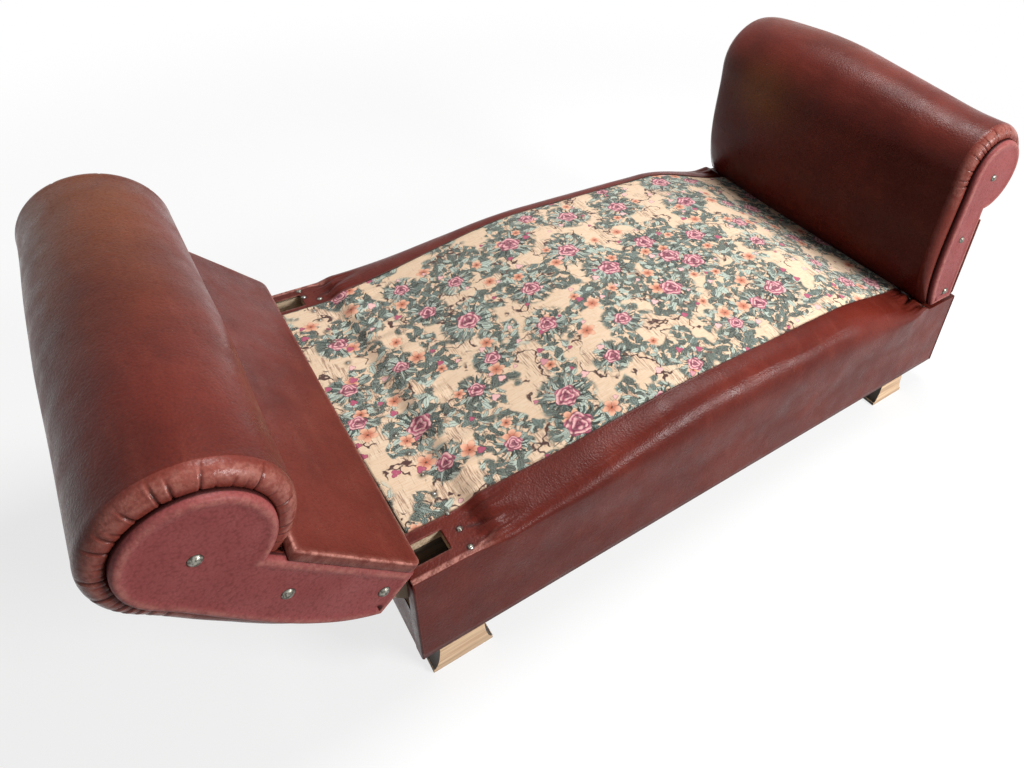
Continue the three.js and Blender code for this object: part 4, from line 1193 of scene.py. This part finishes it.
# Nails of the corners and of the tapestry's ends
for end in ("left", "right"):
    for place, nails in (("near", CORNER_NAILS), ("far", FAR_NAILS)):
        spots = []
        for px, py in nails:
            x = px if end == "left" else LENGTH - px - RIGHT_NAIL_SHIFT
            y = py if place == "near" else WIDTH - py
            spots.append((x, y, BASE_TOP - 0.6))
        add_domes(f"corner_nails_{end}_{place}", spots, NAIL_RADIUS, NAIL_HEIGHT, (0, 0, 1),
                  "base", skew=0.12)
    spots = [(px if end == "left" else LENGTH - px, py, BASE_TOP - 0.2) for px, py in TACKS]
    add_domes(f"tapestry_nails_{end}", spots, TACK_RADIUS, TACK_HEIGHT, (0, 0, 1),
              "base", skew=0.15)

# Better finishes for the CAD pieces that show
FINISHES = {
    "end_cover_": OXBLOOD,
    "side_rail_": PINE_X,
    "seat_deck": PINE_X,
    "end_deck_": PINE_Y,
    "end_rail_": PINE_Y,
    "seat_bearer_": PINE_Y,
    # The cheeks inside the slots are painted dark: painted shade
    "pivot_cheek_": PINE_PAINTED_SHADE,
    "pivot_pin_": STEEL,
}
for name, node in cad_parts.items():
    chosen = next((m for start, m in FINISHES.items() if name.startswith(start)), None)
    if "_tongue_" in name:
        chosen = PINE_Z
    if "_core" in name or "_bottom_rail" in name:
        chosen = PINE_Y
    if chosen is not None:
        for index in range(max(1, len(node.material_slots))):
            if node.material_slots:
                node.material_slots[index].material = chosen
            else:
                node.data.materials.append(chosen)

# Floor, world and lights
def seen_rays(tree):
    """1 for the rays that show the background: the camera's, mirrored and refracted ones."""
    rays = put(tree, "ShaderNodeLightPath")
    camera, glossy, through = (
        Field(tree, rays.outputs[kind]) for kind in ("Is Camera Ray", "Is Glossy Ray", "Is Transmission Ray")
    )
    return camera.do("MAXIMUM", glossy.do("MAXIMUM", through))


FLOOR_REACH = 9.0
floor_mesh = bpy.data.meshes.new("floor")
around = ((-1, -1), (1, -1), (1, 1), (-1, 1))
floor_mesh.from_pydata([(x * FLOOR_REACH, y * FLOOR_REACH, 0) for x, y in around], [], [(0, 1, 2, 3)])
floor = placed("floor", floor_mesh)
floor_material = bpy.data.materials.new("floor_paper")
tree = fresh_tree(floor_material)
paper = put(tree, "ShaderNodeBsdfDiffuse", {"Color": (0.9, 0.9, 0.895, 1)})
dim_paper = put(tree, "ShaderNodeBsdfDiffuse", {"Color": (0.22, 0.22, 0.22, 1)})
glow = put(tree, "ShaderNodeEmission", {"Color": (1, 1, 1, 1), "Strength": 1.0})
from_centre = put(tree, "ShaderNodeVectorMath", {
    0: put(tree, "ShaderNodeTexCoord").outputs["Object"],
}, operation="LENGTH").outputs["Value"]
glow_share = Field(tree, from_centre).ramp(1.0, 3.0, 0.76, 1.0)
bright = put(tree, "ShaderNodeMixShader", {0: glow_share, 1: paper.outputs[0], 2: glow.outputs[0]})
blend = put(tree, "ShaderNodeMixShader", {
    0: seen_rays(tree), 1: dim_paper.outputs[0], 2: bright.outputs[0],
})
put(tree, "ShaderNodeOutputMaterial", {0: blend.outputs[0]})
floor_mesh.materials.append(floor_material)

world = bpy.data.worlds.new("studio")
bpy.context.scene.world = world
tree = fresh_tree(world)
soft = put(tree, "ShaderNodeBackground", {"Color": (0.97, 0.98, 1.0, 1), "Strength": 0.15})
white = put(tree, "ShaderNodeBackground", {"Color": (1, 1, 1, 1), "Strength": 1.0})
blend = put(tree, "ShaderNodeMixShader", {0: seen_rays(tree), 1: soft.outputs[0], 2: white.outputs[0]})
put(tree, "ShaderNodeOutputWorld", {0: blend.outputs[0]})


def area_light(name, place, target, size, power):
    lamp = bpy.data.lights.new(name, "AREA")
    lamp.shape = "RECTANGLE"
    lamp.size, lamp.size_y = size
    lamp.energy = power
    made = placed(name, lamp)
    made.location = place
    made.rotation_euler = (Vector(target) - Vector(place)).to_track_quat("-Z", "Y").to_euler()


area_light("overhead", (1.0, 0.3, 3.1), (0, 0, 0.2), (1.5, 1.1), 98)
area_light("key", (1.6, -3.0, 1.65), (0, 0, 0.3), (1.2, 0.8), 152)

# Camera at the photograph's angle, in the photograph's pixels, in degrees and in millimetres
PHOTO_WIDTH = 1024
PHOTO_HEIGHT = 768
FOCAL_PIXELS = 758.78
AIM_X, AIM_Y = 650, 260
SENSOR_WIDTH = 36
HEADING, TILT, ROLL = (math.radians(angle) for angle in (49.119, 34.246, 6.343))
EYE = (-182.0, -636.5, 1255.6)
camera_data = bpy.data.cameras.new("camera")
camera_data.sensor_fit = "HORIZONTAL"
camera_data.sensor_width = SENSOR_WIDTH
camera_data.lens = FOCAL_PIXELS / PHOTO_WIDTH * SENSOR_WIDTH
camera_data.shift_x = (PHOTO_WIDTH / 2 - AIM_X) / PHOTO_WIDTH
camera_data.shift_y = (AIM_Y - PHOTO_HEIGHT / 2) / PHOTO_WIDTH
camera = placed("camera", camera_data)
forward = Vector((
    math.cos(TILT) * math.cos(HEADING),
    math.cos(TILT) * math.sin(HEADING),
    -math.sin(TILT),
))
level = Vector((math.sin(HEADING), -math.cos(HEADING), 0.0))
right = level * math.cos(ROLL) + level.cross(forward) * math.sin(ROLL)
turn = Matrix((right, right.cross(forward), -forward)).transposed()
camera.matrix_world = Matrix.Translation(Vector(framed(EYE))) @ turn.to_4x4()
bpy.context.scene.camera = camera
bpy.context.scene.view_settings.view_transform = "Standard"
